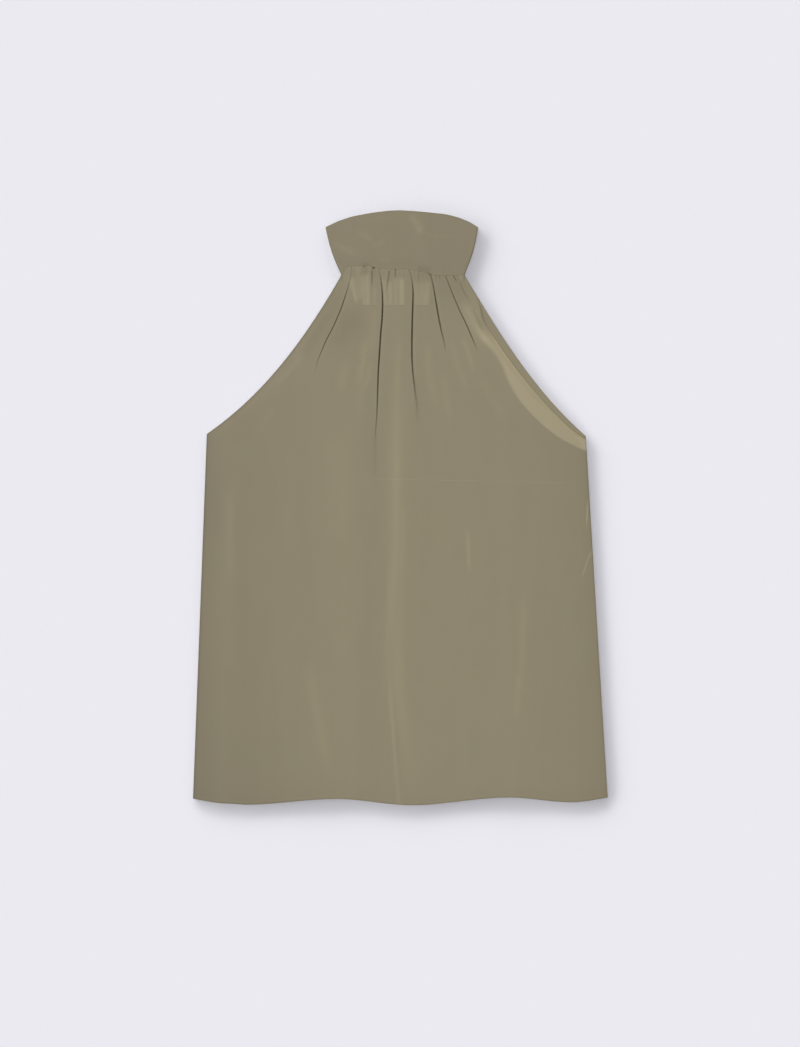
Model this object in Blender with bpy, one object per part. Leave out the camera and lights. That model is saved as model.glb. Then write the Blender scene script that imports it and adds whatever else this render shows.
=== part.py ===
"""Sleeveless halter top laid flat: gathered front, back with a slit, tall collar, two covered buttons.

Lengths are millimetres. x runs across the garment from its centre line, drop runs down from the
highest point of the collar, and z runs up from the surface the garment lies on.
"""
from collections import namedtuple

import bmesh
import bpy
import numpy as np

MM = 0.001

# Whole garment
LENGTH = 714.6

# Cloth walls and the spaces between the layers
FRONT_WALL = 1.5
BACK_WALL = 1.2
COLLAR_WALL = 1.5
SEAM_GAP = 0.35
LAYER_GAP = 0.4

# Neck seam, the collar's lower edge: an arch at the back, and at the front a curve that is level at
# each stop and stands higher on the left
SEAM_DROP = 78.0
SEAM_RISE = 8.4
SEAM_CENTRE = 3.6
SEAM_HALF = 73.8
SEAM_ARCH_END = 150.0
FRONT_SEAM = [
    # x, drop
    (-70.2, 78.0),
    (-48.0, 67.2),
    (-36.0, 67.6),
    (-14.0, 70.8),
    (10.0, 70.4),
    (40.0, 78.6),
    (77.4, 78.0),
]

# Collar's top edge
TOP_DROP = 22.0
TOP_CENTRE = 2.2
TOP_HALF = 91.6
TOP_ROUNDNESS = 2.5
SIDE_BULGE = 2.4

# Panel sides as (x, drop): each armhole is a Bezier curve through its control points from the neck
# to the underarm, and the side seam runs straight from there to the hem's corner
FRONT_SIDES = {
    "left": {"armhole": [(-70.2, 78.0), (-148.8, 214.8), (-231.6, 268.8)], "hem": (-248.4, 706.8)},
    "right": {"armhole": [(76.2, 78.0), (87.1, 131.2), (178.1, 254.4), (222.0, 272.4)], "hem": (248.4, 705.6)},
}
BACK_SIDES = {
    "left": {"armhole": [(-68.6, 78.0), (-146.6, 216.0), (-229.8, 269.6)], "hem": (-247.2, 705.4)},
    "right": {"armhole": [(77.4, 78.0), (153.0, 212.4), (222.0, 271.2)], "hem": (247.2, 704.2)},
}

# Hem's waves, the drop of each crest and hollow across the front
HEM_WAVES = [
    # x, drop
    (-248.4, 706.8),
    (-184.8, 714.0),
    (-76.8, 707.8),
    (14.4, 714.6),
    (126.0, 705.5),
    (204.0, 711.8),
    (248.4, 705.6),
]
HEM_WAVE_START = 560.0
HEM_FOLD = 9.0
HEM_FOLD_HEIGHT = 0.3

# Creases that run down from the neck seam, with x at five even steps of drop
Crease = namedtuple("Crease", "x start_drop end_drop depth half_width")
FRONT_CREASES = [
    # x at each step, start and end drop, depth as a share of the puff, half width
    Crease((-58.1, -67.3, -77.6, -90.8, -102.0), 73.0, 192.0, 0.90, 3.2),
    Crease((-25.8, -21.2, -24.8, -27.7, -29.2), 71.0, 290.0, 0.95, 3.2),
    Crease((12.0, 15.5, 13.8, 15.6, 21.1), 71.0, 250.0, 0.95, 3.2),
    Crease((34.8, 41.2, 45.0, 49.1, 54.1), 74.0, 172.0, 0.90, 3.2),
    Crease((54.1, 63.1, 72.0, 82.1, 91.3), 76.0, 170.0, 0.90, 3.2),
]
FRONT_SHORT_CREASES = [
    Crease((-32.4, -32.4, -32.6, -33.0, -33.4), 69.0, 98.0, 0.6, 2.2),
    Crease((-12.7, -13.9, -15.1, -15.7, -16.1), 71.0, 102.0, 0.6, 2.2),
    Crease((-5.4, -5.4, -5.4, -5.4, -5.4), 71.0, 86.0, 0.5, 2.0),
    Crease((65.2, 66.2, 67.4, 68.6, 70.0), 77.0, 92.0, 0.5, 2.2),
]
BACK_CREASES = [
    Crease((-46.0, -52.0, -58.0, -66.0, -76.0), 74.0, 178.0, 0.95, 3.2),
    Crease((-19.0, -21.0, -24.0, -26.0, -28.0), 70.0, 236.0, 1.00, 3.2),
    Crease((27.0, 28.0, 31.0, 34.0, 37.0), 70.0, 214.0, 1.00, 3.2),
    Crease((53.0, 60.0, 67.0, 74.0, 83.0), 74.0, 166.0, 0.95, 3.2),
]
BACK_CREASE_LIFT = 0.7
CREASE_SPREAD = 0.7

# Small gathers between the creases, closest at the seam
GATHER_PITCH = 8.5
GATHER_SHARE = 0.26
BACK_GATHER_SHARE = 0.45
GATHER_REACH = 24.0

# Long soft folds of the front, with x at five even steps of drop
Fold = namedtuple("Fold", "x start_drop end_drop height half_width")
FRONT_FOLDS = [
    # x at each step, start drop, end drop, height, half width
    Fold((-3.6, -0.5, -6.8, -9.0, -4.8), 205.0, 760.0, 0.5, 4.5),
    Fold((-118.0, -114.0, -107.0, -94.0, -80.0), 400.0, 760.0, 1.1, 26.0),
    Fold((141.0, 143.0, 144.0, 138.0, 128.0), 400.0, 760.0, 1.1, 26.0),
    Fold((-196.0, -202.0, -204.0, -205.0, -204.0), 300.0, 560.0, 0.5, 16.0),
]

# Slit at the centre back
SLIT_END = 180.0
SLIT_HALF_WIDTH = 0.35

# Puff, the front's height over its lowest resting height
BODY_PUFF = 1.5
NECK_PUFF = 1.0
NECK_PUFF_START = 150.0
NECK_PUFF_END = 330.0
EDGE_REACH = 9.0
SEAM_PINCH = 0.35
SEAM_PINCH_REACH = 14.0
HEM_REST = 0.45
HEM_REST_REACH = 40.0

# The front's right armhole stands open a little over the back
GAPE_HEIGHT = 2.2
GAPE_WIDTH = 30.0
GAPE_RISE = (112.0, 190.0)
GAPE_FALL = (222.0, 268.0)

# Collar's flattened ring
COLLAR_FOLD_HEIGHT = 5.2
COLLAR_RISE_LOW = 0.6
COLLAR_RISE_HIGH = 2.1
COLLAR_RISE_END = 0.22
COLLAR_HEIGHT_STEPS = 8
COLLAR_FRONT_STEPS = 48
LAP_HALF = 9.0
LAP_RAMP = (12.0, 30.0)

# Covered buttons, and how the collar's back rises over them
BUTTON_RADIUS = 5.5
BUTTON_THICK = 1.5
BUTTON_DOME = 1.15
BUTTON_BACK = 0.86
BUTTON_SIDES = 24
BUTTON_HEIGHTS = {"button_upper": 0.80, "button_lower": 0.38}
BUTTON_LIFT = 2.05
BUTTON_LIFT_REACH = 17.0

# Rows of points down a panel, 0 to 1 along the armhole and 1 to 2 along the side seam
FRONT_FINE_ROWS = [0.0, 0.012, 0.03, 0.055, 0.09, 0.14, 0.2]
FRONT_ROWS = [*FRONT_FINE_ROWS, *np.linspace(0.2, 1.0, 10)[1:], *np.linspace(1.0, 1.975, 14)[1:], 1.9885, 2.0]
BACK_FINE_ROWS = [0.0, 0.02, 0.06, 0.12, 0.2]
BACK_ROWS = [*BACK_FINE_ROWS, *np.linspace(0.2, 1.0, 8)[1:], *np.linspace(1.0, 2.0, 8)[1:]]

# Columns of points between a panel's left side, its creases (and slit) and its right side
FRONT_COLUMNS = [4, 10, 11, 7, 6, 6]
BACK_COLUMNS = [4, 5, 5, 5, 5, 4]

# Cloth colours, linear
OLIVE = (0.262, 0.231, 0.156, 1.0)
OLIVE_COLLAR = (0.242, 0.214, 0.145, 1.0)


def ease(start, end, value):
    """0 up to start, 1 from end on, and level at both."""
    share = np.clip((value - start) / (end - start), 0.0, 1.0)
    return share * share * (3.0 - 2.0 * share)


def eased_through(stops, value):
    """Value through (place, value) stops, level at each stop."""
    for (place, low), (next_place, high) in zip(stops, stops[1:]):
        if value <= next_place:
            return low + (high - low) * ease(place, next_place, value)
    return stops[-1][1]


def five_point(values, share):
    """Smooth curve through five evenly spaced values."""
    values = [2 * values[0] - values[1], *values, 2 * values[4] - values[3]]
    place = np.clip(share, 0.0, 1.0) * 4.0
    step = min(int(place), 3)
    t = place - step
    a, b, c, d = values[step:step + 4]
    return b + 0.5 * t * (c - a + t * (2 * a - 5 * b + 4 * c - d + t * (3 * (b - c) + d - a)))


def bezier(points, share):
    """Point on the Bezier curve of any number of control points."""
    points = [np.array(point, float) for point in points]
    while len(points) > 1:
        points = [a + (b - a) * share for a, b in zip(points, points[1:])]
    return points[0]


def side_point(side, row):
    """Point on a panel's side."""
    if row <= 1.0:
        return bezier(side["armhole"], row)
    underarm = np.array(side["armhole"][-1])
    return underarm + (np.array(side["hem"]) - underarm) * (row - 1.0)


def side_x(side, drop):
    """A side's x at a given drop."""
    points = np.array([side_point(side, row) for row in np.linspace(0.0, 2.0, 161)])
    return np.interp(drop, points[:, 1], points[:, 0])


def back_seam(x):
    """Drop of the neck seam at the back."""
    across = (x - SEAM_CENTRE) / SEAM_HALF
    return SEAM_DROP - SEAM_RISE * max(0.0, 1.0 - across * across)


def front_seam(x):
    """Drop of the neck seam at the front."""
    return eased_through(FRONT_SEAM, x)


def crease_down(crease, drop):
    """How far down a crease a drop is, 0 at its top and 1 at its end."""
    return (drop - crease.start_drop) / (crease.end_drop - crease.start_drop)


def crease_x(crease, drop):
    """A crease's x at a given drop."""
    return five_point(crease.x, crease_down(crease, drop))


def crease_depth(crease, x, drop):
    """Share of the puff that a crease takes away."""
    down = crease_down(crease, drop)
    if down >= 1.0:
        return 0.0
    fade = (1.0 - max(0.0, down) ** 2) * (0.75 + 0.25 * ease(0.0, 0.15, down))
    off = (x - crease_x(crease, drop)) / crease.half_width
    return crease.depth * fade * np.exp(-1.4 * off * off)


def fold_height(fold, x, drop):
    """Height that a long soft fold adds."""
    down = (drop - fold.start_drop) / (fold.end_drop - fold.start_drop)
    if down <= 0.0 or down >= 1.0:
        return 0.0
    off = (x - five_point(fold.x, down)) / fold.half_width
    return fold.height * ease(0.0, 0.35, down) * np.exp(-off * off)


def edge_room(x, left_x, right_x):
    """Distance to the nearer side."""
    return max(0.0, min(x - left_x, right_x - x))


def gape(x, drop, right_x):
    """How far the front's right armhole stands up."""
    along = ease(*GAPE_RISE, drop) * (1.0 - ease(*GAPE_FALL, drop))
    inward = np.clip((right_x - x) / GAPE_WIDTH, 0.0, 1.0)
    return GAPE_HEIGHT * along * (1.0 - inward) ** 1.5


def front_underside(x, drop, left_x, right_x):
    """Height of the front's inner face."""
    below_seam = max(0.0, drop - front_seam(x))
    puff = BODY_PUFF + NECK_PUFF * (1.0 - ease(NECK_PUFF_START, NECK_PUFF_END, drop))
    puff += sum(fold_height(fold, x, drop) for fold in FRONT_FOLDS)
    puff *= 1.0 - np.exp(-edge_room(x, left_x, right_x) / EDGE_REACH)
    puff *= SEAM_PINCH + (1.0 - SEAM_PINCH) * ease(0.0, SEAM_PINCH_REACH, below_seam)
    puff *= HEM_REST + (1.0 - HEM_REST) * ease(0.0, HEM_REST_REACH, LENGTH - drop)
    gather = np.sin(2 * np.pi * x / GATHER_PITCH + 1.9 * np.sin(x / 17.0))
    puff *= 1.0 + GATHER_SHARE * gather * np.exp(-below_seam / GATHER_REACH)
    for crease in FRONT_CREASES + FRONT_SHORT_CREASES:
        puff *= 1.0 - crease_depth(crease, x, drop)
    resting = BACK_WALL + LAYER_GAP + BACK_CREASE_LIFT * (1.0 - ease(190.0, 260.0, drop))
    return resting + puff + gape(x, drop, right_x)


def front_top(x, drop, left_x, right_x):
    """Height of the front's outer face, thicker over the turned hem."""
    turned = HEM_FOLD_HEIGHT * ease(-1.0, 0.0, drop - (LENGTH - HEM_FOLD))
    return front_underside(x, drop, left_x, right_x) + FRONT_WALL + turned


def back_underside(x, drop, left_x, right_x):
    """Height of the back's outer face, which rests on the surface between its shallow creases."""
    smooth = 1.0
    for crease in BACK_CREASES:
        smooth *= 1.0 - crease_depth(crease, x, drop)
    gather = 0.5 + 0.5 * np.sin(2 * np.pi * x / GATHER_PITCH + 1.1 * np.sin(x / 13.0))
    gather *= BACK_GATHER_SHARE * np.exp(-max(0.0, drop - back_seam(x)) / GATHER_REACH)
    edge = 1.0 - np.exp(-edge_room(x, left_x, right_x) / 3.0)
    return BACK_CREASE_LIFT * max(1.0 - smooth, gather) * edge


def back_top(x, drop, left_x, right_x):
    """Height of the back's inner face."""
    return back_underside(x, drop, left_x, right_x) + BACK_WALL


def row_drop(seam, left, right, x):
    """Drop at x in the row that runs from left to right, with the seam's curve and the hem's waves."""
    drop = np.interp(x, (left[0], right[0]), (left[1], right[1]))
    arch = (SEAM_GAP - SEAM_DROP + seam(x)) * (1.0 - ease(SEAM_DROP, SEAM_ARCH_END, drop))
    (first_x, first), (last_x, last) = HEM_WAVES[0], HEM_WAVES[-1]
    wave = eased_through(HEM_WAVES, x) - np.interp(x, (first_x, last_x), (first, last))
    return drop + arch + wave * ease(HEM_WAVE_START, first, drop)


def crease_share(sides, crease, drop):
    """A crease's place as a share of the panel's width, kept from its end down."""
    drop = min(drop, crease.end_drop)
    left_x, right_x = side_x(sides["left"], drop), side_x(sides["right"], drop)
    return (crease_x(crease, drop) - left_x) / (right_x - left_x)


def row_guides(sides, seam, creases, slit, left, right):
    """Place and half width of each crease in a row, and of the slit where there is one."""
    width = right[0] - left[0]
    spread = (width / (2 * SEAM_HALF)) ** CREASE_SPREAD
    guides = []
    for crease in creases:
        x = crease.x[0]
        for _ in range(4):
            x = left[0] + width * crease_share(sides, crease, row_drop(seam, left, right, x))
        guides.append((x, crease.half_width * spread))
    if slit:
        opened = 6.0 * ease(SLIT_END, 420.0, row_drop(seam, left, right, SEAM_CENTRE))
        guides.append((SEAM_CENTRE, SLIT_HALF_WIDTH + opened))
    return sorted(guides)


def row_columns(left_x, right_x, guides, counts):
    """Column places of one row: three at each guide, and the spaces between shared out evenly."""
    stops, steps = [left_x], [counts[0]]
    for (x, half_width), count in zip(guides, counts[1:]):
        stops += [x - half_width, x, x + half_width]
        steps += [1, 1, count]
    stops.append(right_x)
    places = [left_x]
    for start, end, count in zip(stops, stops[1:], steps):
        places += [start + (end - start) * (n + 1) / count for n in range(count)]
    return np.array(places)


def between_rows(upper, lower):
    """Triangles between two rows of points, the upper one with as many columns or twice as many."""
    triangles = []
    for n in range(len(lower) - 1):
        c, d = lower[n], lower[n + 1]
        if len(upper) == len(lower):
            a, b = upper[n], upper[n + 1]
            triangles += [(a, c, d), (a, d, b)]
        else:
            a, middle, b = upper[2 * n:2 * n + 3]
            triangles += [(a, c, middle), (middle, c, d), (middle, d, b)]
    return triangles


def closed_wall(outer, inner, triangles):
    """Two copies of one sheet of triangles joined round every free edge, and how many make the two."""
    count = len(outer)
    faces = list(triangles)
    faces += [(c + count, b + count, a + count) for a, b, c in triangles]
    edges = {edge for a, b, c in triangles for edge in ((a, b), (b, c), (c, a))}
    for a, b in sorted(edges):
        if (b, a) not in edges:
            faces += [(b, a, a + count), (b, a + count, b + count)]
    return list(outer) + list(inner), faces, 2 * len(triangles)


def cloth_material(name, colour, roughness):
    """Plain cloth material."""
    material = bpy.data.materials.new(name)
    material.use_nodes = True
    shader = material.node_tree.nodes["Principled BSDF"]
    shader.inputs["Base Color"].default_value = colour
    shader.inputs["Roughness"].default_value = roughness
    shader.inputs["Metallic"].default_value = 0.0
    material.diffuse_color = colour
    return material


def add_object(name, points, faces, smooth_faces, material):
    """One closed body from points given as (x, drop, z), with flat shading after its smooth faces."""
    mesh = bpy.data.meshes.new(name)
    places = [(x * MM, (0.5 * LENGTH - drop) * MM, z * MM) for x, drop, z in points]
    mesh.from_pydata(places, [], faces)
    body = bmesh.new()
    body.from_mesh(mesh)
    bmesh.ops.recalc_face_normals(body, faces=body.faces)
    for face in body.faces:
        face.smooth = face.index < smooth_faces
    body.to_mesh(mesh)
    body.free()
    mesh.materials.append(material)
    item = bpy.data.objects.new(name, mesh)
    bpy.context.scene.collection.objects.link(item)


def in_slit(triangle, points):
    """Whether a triangle lies in the slit at the centre back."""
    off = [abs(points[corner][0] - SEAM_CENTRE) for corner in triangle]
    drop = [points[corner][1] for corner in triangle]
    return max(drop) <= SLIT_END and max(off) <= SLIT_HALF_WIDTH + 0.01


def add_panel(name, sides, seam, creases, counts, rows, fine_rows, top, underside, material, slit=False):
    """One panel of cloth, with its columns doubled in the rows nearest the neck."""
    upper_face, lower_face, indices = [], [], []
    for row in rows:
        left, right = side_point(sides["left"], row), side_point(sides["right"], row)
        guides = row_guides(sides, seam, creases, slit, left, right)
        places = row_columns(left[0], right[0], guides, counts)
        if row in fine_rows:
            halves = 0.5 * (places[:-1] + places[1:])
            places = np.insert(places, np.arange(1, len(places)), halves)
        start = len(upper_face)
        indices.append(range(start, start + len(places)))
        for x in places:
            drop = row_drop(seam, left, right, x)
            upper_face.append((x, drop, top(x, drop, left[0], right[0])))
            lower_face.append((x, drop, underside(x, drop, left[0], right[0])))
    triangles = []
    for above, below in zip(indices, indices[1:]):
        triangles += between_rows(above, below)
    if slit:
        triangles = [triangle for triangle in triangles if not in_slit(triangle, upper_face)]
    points, faces, smooth_faces = closed_wall(upper_face, lower_face, triangles)
    add_object(name, points, faces, smooth_faces, material)


def collar_frame(up):
    """Centre and half width of the collar at a height: 0 at the seam, 1 at the top edge."""
    centre = SEAM_CENTRE + (TOP_CENTRE - SEAM_CENTRE) * up
    half = SEAM_HALF + (TOP_HALF - SEAM_HALF) * up + SIDE_BULGE * np.sin(np.pi * up)
    return centre, half


def collar_drop(seam, across, up):
    """Drop of a point of the collar, across from -1 at its left side to 1 at its right."""
    low = seam(SEAM_CENTRE + SEAM_HALF * across)
    high = TOP_DROP * abs(across) ** TOP_ROUNDNESS
    return low + (high - low) * up


def button_lift(x, up):
    """How far the collar's back rises over the buttons."""
    off = (x - collar_frame(up)[0]) / BUTTON_LIFT_REACH
    return BUTTON_LIFT * np.exp(-off ** 4) * ease(0.0, COLLAR_RISE_END, up)


def collar_stations():
    """Places round the collar's ring, from the end that laps outside to the end that lies inside."""
    outer_end = [LAP_HALF, 4.5, 0.0, -4.5, -9.0, -13.0, -17.0, -22.0, -30.0, -42.0, -56.0]
    inner_end = [56.0, 44.0, 35.0, 30.0, 25.0, 20.0, 15.0, 11.0, 5.5, 0.0, -4.5, -LAP_HALF]
    parts = [
        ("outer_end", outer_end),
        ("left_fold", np.linspace(-90.0, -270.0, 7)),
        ("front", np.linspace(-1.0, 1.0, COLLAR_FRONT_STEPS + 1)[1:-1]),
        ("right_fold", np.linspace(90.0, -90.0, 7)),
        ("inner_end", inner_end),
    ]
    return [(part, place) for part, places in parts for place in places]


def collar_point(part, place, up):
    """Middle of the collar's wall as (x, drop, z), and the direction out of it as (x, z)."""
    centre, half = collar_frame(up)
    half_wall = 0.5 * COLLAR_WALL
    fold = 0.5 * COLLAR_FOLD_HEIGHT
    flat_half = half - fold
    if part == "front":
        x = centre + place * flat_half
        rise = COLLAR_RISE_LOW + (COLLAR_RISE_HIGH - COLLAR_RISE_LOW) * ease(0.0, COLLAR_RISE_END, up)
        z = COLLAR_FOLD_HEIGHT - half_wall + rise * (1.0 - place * place) ** 1.5
        out = (0.0, 1.0)
    elif part in ("left_fold", "right_fold"):
        out = (np.cos(np.radians(place)), np.sin(np.radians(place)))
        side = -1.0 if part == "left_fold" else 1.0
        x = centre + side * flat_half + (fold - half_wall) * out[0]
        z = fold + (fold - half_wall) * out[1]
    else:
        x = centre + place
        z = half_wall + button_lift(x, up)
        if part == "inner_end":
            z += (COLLAR_WALL + SEAM_GAP) * (1.0 - ease(*LAP_RAMP, place))
        out = (0.0, -1.0)
    seam = front_seam if part == "front" else back_seam
    return (x, collar_drop(seam, (x - centre) / half, up), z), out


def add_collar(material):
    """The collar's ring, its outer end lapped over its inner end at the centre back."""
    outer, inner, indices = [], [], []
    half_wall = 0.5 * COLLAR_WALL
    for part, place in collar_stations():
        start = len(outer)
        indices.append(range(start, start + COLLAR_HEIGHT_STEPS + 1))
        for up in np.linspace(0.0, 1.0, COLLAR_HEIGHT_STEPS + 1):
            (x, drop, z), (out_x, out_z) = collar_point(part, place, up)
            outer.append((x + half_wall * out_x, drop, z + half_wall * out_z))
            inner.append((x - half_wall * out_x, drop, z - half_wall * out_z))
    triangles = []
    for this, following in zip(indices, indices[1:]):
        triangles += between_rows(this, following)
    points, faces, smooth_faces = closed_wall(outer, inner, triangles)
    add_object("collar", points, faces, smooth_faces, material)


def add_button(name, up, material):
    """Covered button, a low dome whose outer side faces down."""
    centre, middle_drop = collar_frame(up)[0], collar_drop(back_seam, 0.0, up)
    profile = []
    for angle in np.radians(np.linspace(18.0, 90.0, 5)):
        profile.append((BUTTON_RADIUS * np.sin(angle), BUTTON_DOME * (1.0 - np.cos(angle))))
    profile.append((BUTTON_RADIUS * BUTTON_BACK, BUTTON_THICK))
    points = [(centre, middle_drop, 0.0), (centre, middle_drop, BUTTON_THICK)]
    rings = []
    for radius, z in profile:
        rings.append(range(len(points), len(points) + BUTTON_SIDES))
        for turn in 2 * np.pi * np.arange(BUTTON_SIDES) / BUTTON_SIDES:
            points.append((centre + radius * np.cos(turn), middle_drop + radius * np.sin(turn), z))
    faces = []
    for n in range(BUTTON_SIDES):
        following = (n + 1) % BUTTON_SIDES
        faces.append((0, rings[0][n], rings[0][following]))
        faces.append((1, rings[-1][following], rings[-1][n]))
        for lower, upper in zip(rings, rings[1:]):
            faces.append((lower[n], upper[n], upper[following], lower[following]))
    add_object(name, points, faces, len(faces), material)


def centre_on_origin():
    """Put the whole garment's middle over the origin, with its lowest point at height zero."""
    items = [item for item in bpy.data.objects if item.type == "MESH"]
    corners = np.array([vertex.co for item in items for vertex in item.data.vertices])
    low, high = corners.min(axis=0), corners.max(axis=0)
    shift = np.array([0.5 * (low[0] + high[0]), 0.5 * (low[1] + high[1]), low[2]])
    for item in items:
        for vertex in item.data.vertices:
            vertex.co = np.array(vertex.co) - shift


for old in list(bpy.data.objects):
    bpy.data.objects.remove(old, do_unlink=True)

add_panel("front_panel", FRONT_SIDES, front_seam, FRONT_CREASES, FRONT_COLUMNS, FRONT_ROWS, FRONT_FINE_ROWS,
          front_top, front_underside, cloth_material("cloth_front", OLIVE, 0.55))
add_panel("back_panel", BACK_SIDES, back_seam, BACK_CREASES, BACK_COLUMNS, BACK_ROWS, BACK_FINE_ROWS,
          back_top, back_underside, cloth_material("cloth_back", OLIVE, 0.55), slit=True)
add_collar(cloth_material("cloth_collar", OLIVE_COLLAR, 0.55))
button_cloth = cloth_material("cloth_button", OLIVE_COLLAR, 0.5)
for button, height in BUTTON_HEIGHTS.items():
    add_button(button, height, button_cloth)
centre_on_origin()
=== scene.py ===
"""Looks of the sleeveless halter top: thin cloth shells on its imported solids, laid on a pale floor.

Lengths are millimetres until points are placed. x runs across the garment from its centre line, drop
runs down from the highest point of the collar, and z runs up from the surface the garment lies on.
"""
from collections import namedtuple

import bmesh
import bpy
import numpy as np
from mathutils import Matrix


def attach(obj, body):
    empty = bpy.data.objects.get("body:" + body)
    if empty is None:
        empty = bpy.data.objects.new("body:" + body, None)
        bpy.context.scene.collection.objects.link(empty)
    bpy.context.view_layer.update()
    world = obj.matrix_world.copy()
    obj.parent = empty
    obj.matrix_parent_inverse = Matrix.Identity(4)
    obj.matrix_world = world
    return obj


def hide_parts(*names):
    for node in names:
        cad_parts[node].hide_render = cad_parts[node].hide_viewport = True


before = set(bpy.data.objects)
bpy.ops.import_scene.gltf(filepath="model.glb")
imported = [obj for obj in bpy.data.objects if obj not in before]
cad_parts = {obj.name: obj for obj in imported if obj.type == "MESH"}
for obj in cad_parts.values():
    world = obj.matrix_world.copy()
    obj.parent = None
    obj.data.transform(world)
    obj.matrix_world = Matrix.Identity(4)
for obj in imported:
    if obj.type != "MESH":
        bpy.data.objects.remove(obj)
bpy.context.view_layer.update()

MM = 0.001
TINY = 1e-9

# Whole garment
LENGTH = 714.6

# Cloth as it shows: one layer, what a turn adds to it, and the collar's stiffened band, thinner at its seam
CLOTH = 0.45
TURNED_CLOTH = 0.55
FRONT_TURNED_SHARE = 0.35
BACK_TURNED_SHARE = 0.6
COLLAR_CLOTH = 1.0
COLLAR_SEAM_CLOTH = 0.25
COLLAR_SEAM_REACH = 0.07

# Distances in from an armhole and up from the hem over which the turn ends, and rows where the armhole's ends
SIDE_TURN = (4.0, 5.0)
SIDE_TURN_END = (0.95, 1.0)
HEM_TURN = (5.4, 6.2)

# Rim that closes a shell, with how far it bulges as a share of the thickness
RIM_BULGE = 0.35
RIM_SAMPLES = 200

# Neck seam as (x, drop) at the front and an arch at the back
SEAM_DROP = 78.0
SEAM_RISE = 8.4
SEAM_CENTRE = 3.6
SEAM_HALF = 73.8
SEAM_ARCH_END = 150.0
SEAM_GAP = 0.02
FRONT_SEAM_REACH = 3.0
FRONT_SEAM = [
    (-70.2, 78), (-65, 68.6), (-50, 66.6), (-36, 67), (-24, 70.6), (-6, 71.4), (10, 70.8), (22, 74),
    (33, 75.4), (41, 79), (60, 79.4), (77.4, 78),
]

# Collar's top edge, as drops at shares of the way from its middle to its corners
TOP_EDGE = [(-1, 20.6), (-0.83, 13.2), (-0.66, 8.1), (-0.50, 5.2), (-0.33, 2.7), (-0.16, 1), (-0.03, 0.5),
            (0.16, 1.5), (0.34, 2.9), (0.59, 5.4), (0.75, 9.2), (0.89, 14.4), (1, 20.8)]
TOP_EDGE_REACH = 6.0

# Collar's flattened ring, folded round at both sides to a radius, its front arched a little
TOP_CENTRE = 2.2
TOP_HALF = 91.6
SIDE_BULGE = 2.4
FOLD_FLATNESS = 0.45
COLLAR_WALL = 1.5
COLLAR_FOLD = 2.2
COLLAR_RISE_LOW = 0.6
COLLAR_RISE_HIGH = 2.1
COLLAR_RISE_END = 0.22
COLLAR_ARCH = 1.5
COLLAR_ROWS = [0.0, 0.012, 0.03, 0.055, 0.085, *np.linspace(0.12, 0.97, 30), 0.985, 1.0]
COLLAR_FRONT_COLUMNS = 121
FOLD_COLUMNS = 17

# Collar's ends, lapped at the centre back, with even columns near it and a number of wider steps beyond
LAP_HALF = 9.0
LAP_RAMP = (12.0, 30.0)
LAP_GAP = 0.35
LAP_EVEN = 30.0
LAP_COLUMNS = 32
LAP_STEPS = 12

# Covered buttons, their backs as (share of radius, z), and how the collar's back rises over them
BUTTON_RADIUS = 5.5
BUTTON_DOME = 1.15
BUTTON_DOME_TURNS = (10.0, 90.0, 12)
BUTTON_BACK = ((0.985, 1.30), (0.93, 1.42), (0.80, 1.5), (0.45, 1.4))
BUTTON_SIDES = 56
BUTTON_HEIGHTS = {"button_upper": 0.80, "button_lower": 0.38}
BUTTON_LIFT = 2.05
BUTTON_LIFT_REACH = 17.0

# Buttonholes, ovals of close stitches that lean outwards
BUTTONHOLE_HALF = (6.6, 1.0)
BUTTONHOLE_STITCHES = 56
BUTTONHOLE_STITCH = 1.3
BUTTONHOLE_LEAN = 0.35
BUTTONHOLE_SINK = 0.08

# Panel sides as (x, drop): a Bezier armhole from the neck to the underarm, then the side seam
Side = namedtuple("Side", "armhole hem")
FRONT_SIDES = {
    "left": Side([(-70.2, 78), (-112.9, 152.4), (-160.4, 219), (-231.8, 268.8)], (-248.4, 706.2)),
    "right": Side([(76.2, 78), (87.1, 131.2), (180.2, 253), (222.8, 275.4)], (249.2, 705)),
}
BACK_SIDES = {
    "left": Side([(-68.6, 78), (-111.6, 153), (-159.2, 220), (-231.2, 269.6)], (-248, 705.6)),
    "right": Side([(77.4, 78), (118.5, 147.6), (161.5, 217.9), (223, 271.4)], (248.8, 704.4)),
}
SIDE_SAMPLES = 201

# Range of drops over which the front's right edge leaves the back's edge, and its gap to it above that
COVER_RANGE = (100, 136)
COVER_GAP = 0.4

# Hem's waves as (x, drop) of each crest and hollow, the first and last beyond its corners
HEM_WAVES = [
    (-276, 703), (-206, 712), (-184.8, 713.2), (-76.8, 706.4), (14.4, 713.9), (131, 704.6), (205, 710.4),
    (276, 702.4),
]
HEM_WAVE_RANGE = (560, 704)
HEM_DROOP = 0.9
HEM_DROOP_REACH = 16.0
BACK_HEM_UP = 1.4

# Stitches, bars with a size at each (place, size) along them, and where their lines run
STITCH_SECTIONS = ((-0.5, 0.35), (-0.36, 0.85), (-0.15, 1.0), (0.15, 1.0), (0.36, 0.85), (0.5, 0.35))
STITCH_SIDES = 6
STITCH_LENGTH = 2.3
STITCH_WIDTH = 0.42
STITCH_HEIGHT = 0.30
STITCH_PITCH = 3.7
STITCH_ROOM = 3.2
FRONT_STITCH_LIFT = 0.02
BACK_STITCH_LIFT = 0.10
FRONT_HEM_LINE_HALF = 244.0
BACK_HEM_LINE_HALF = 243.0
HEM_LINE_POINTS = 400
HEM_LINE_ROW = 1.99

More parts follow.
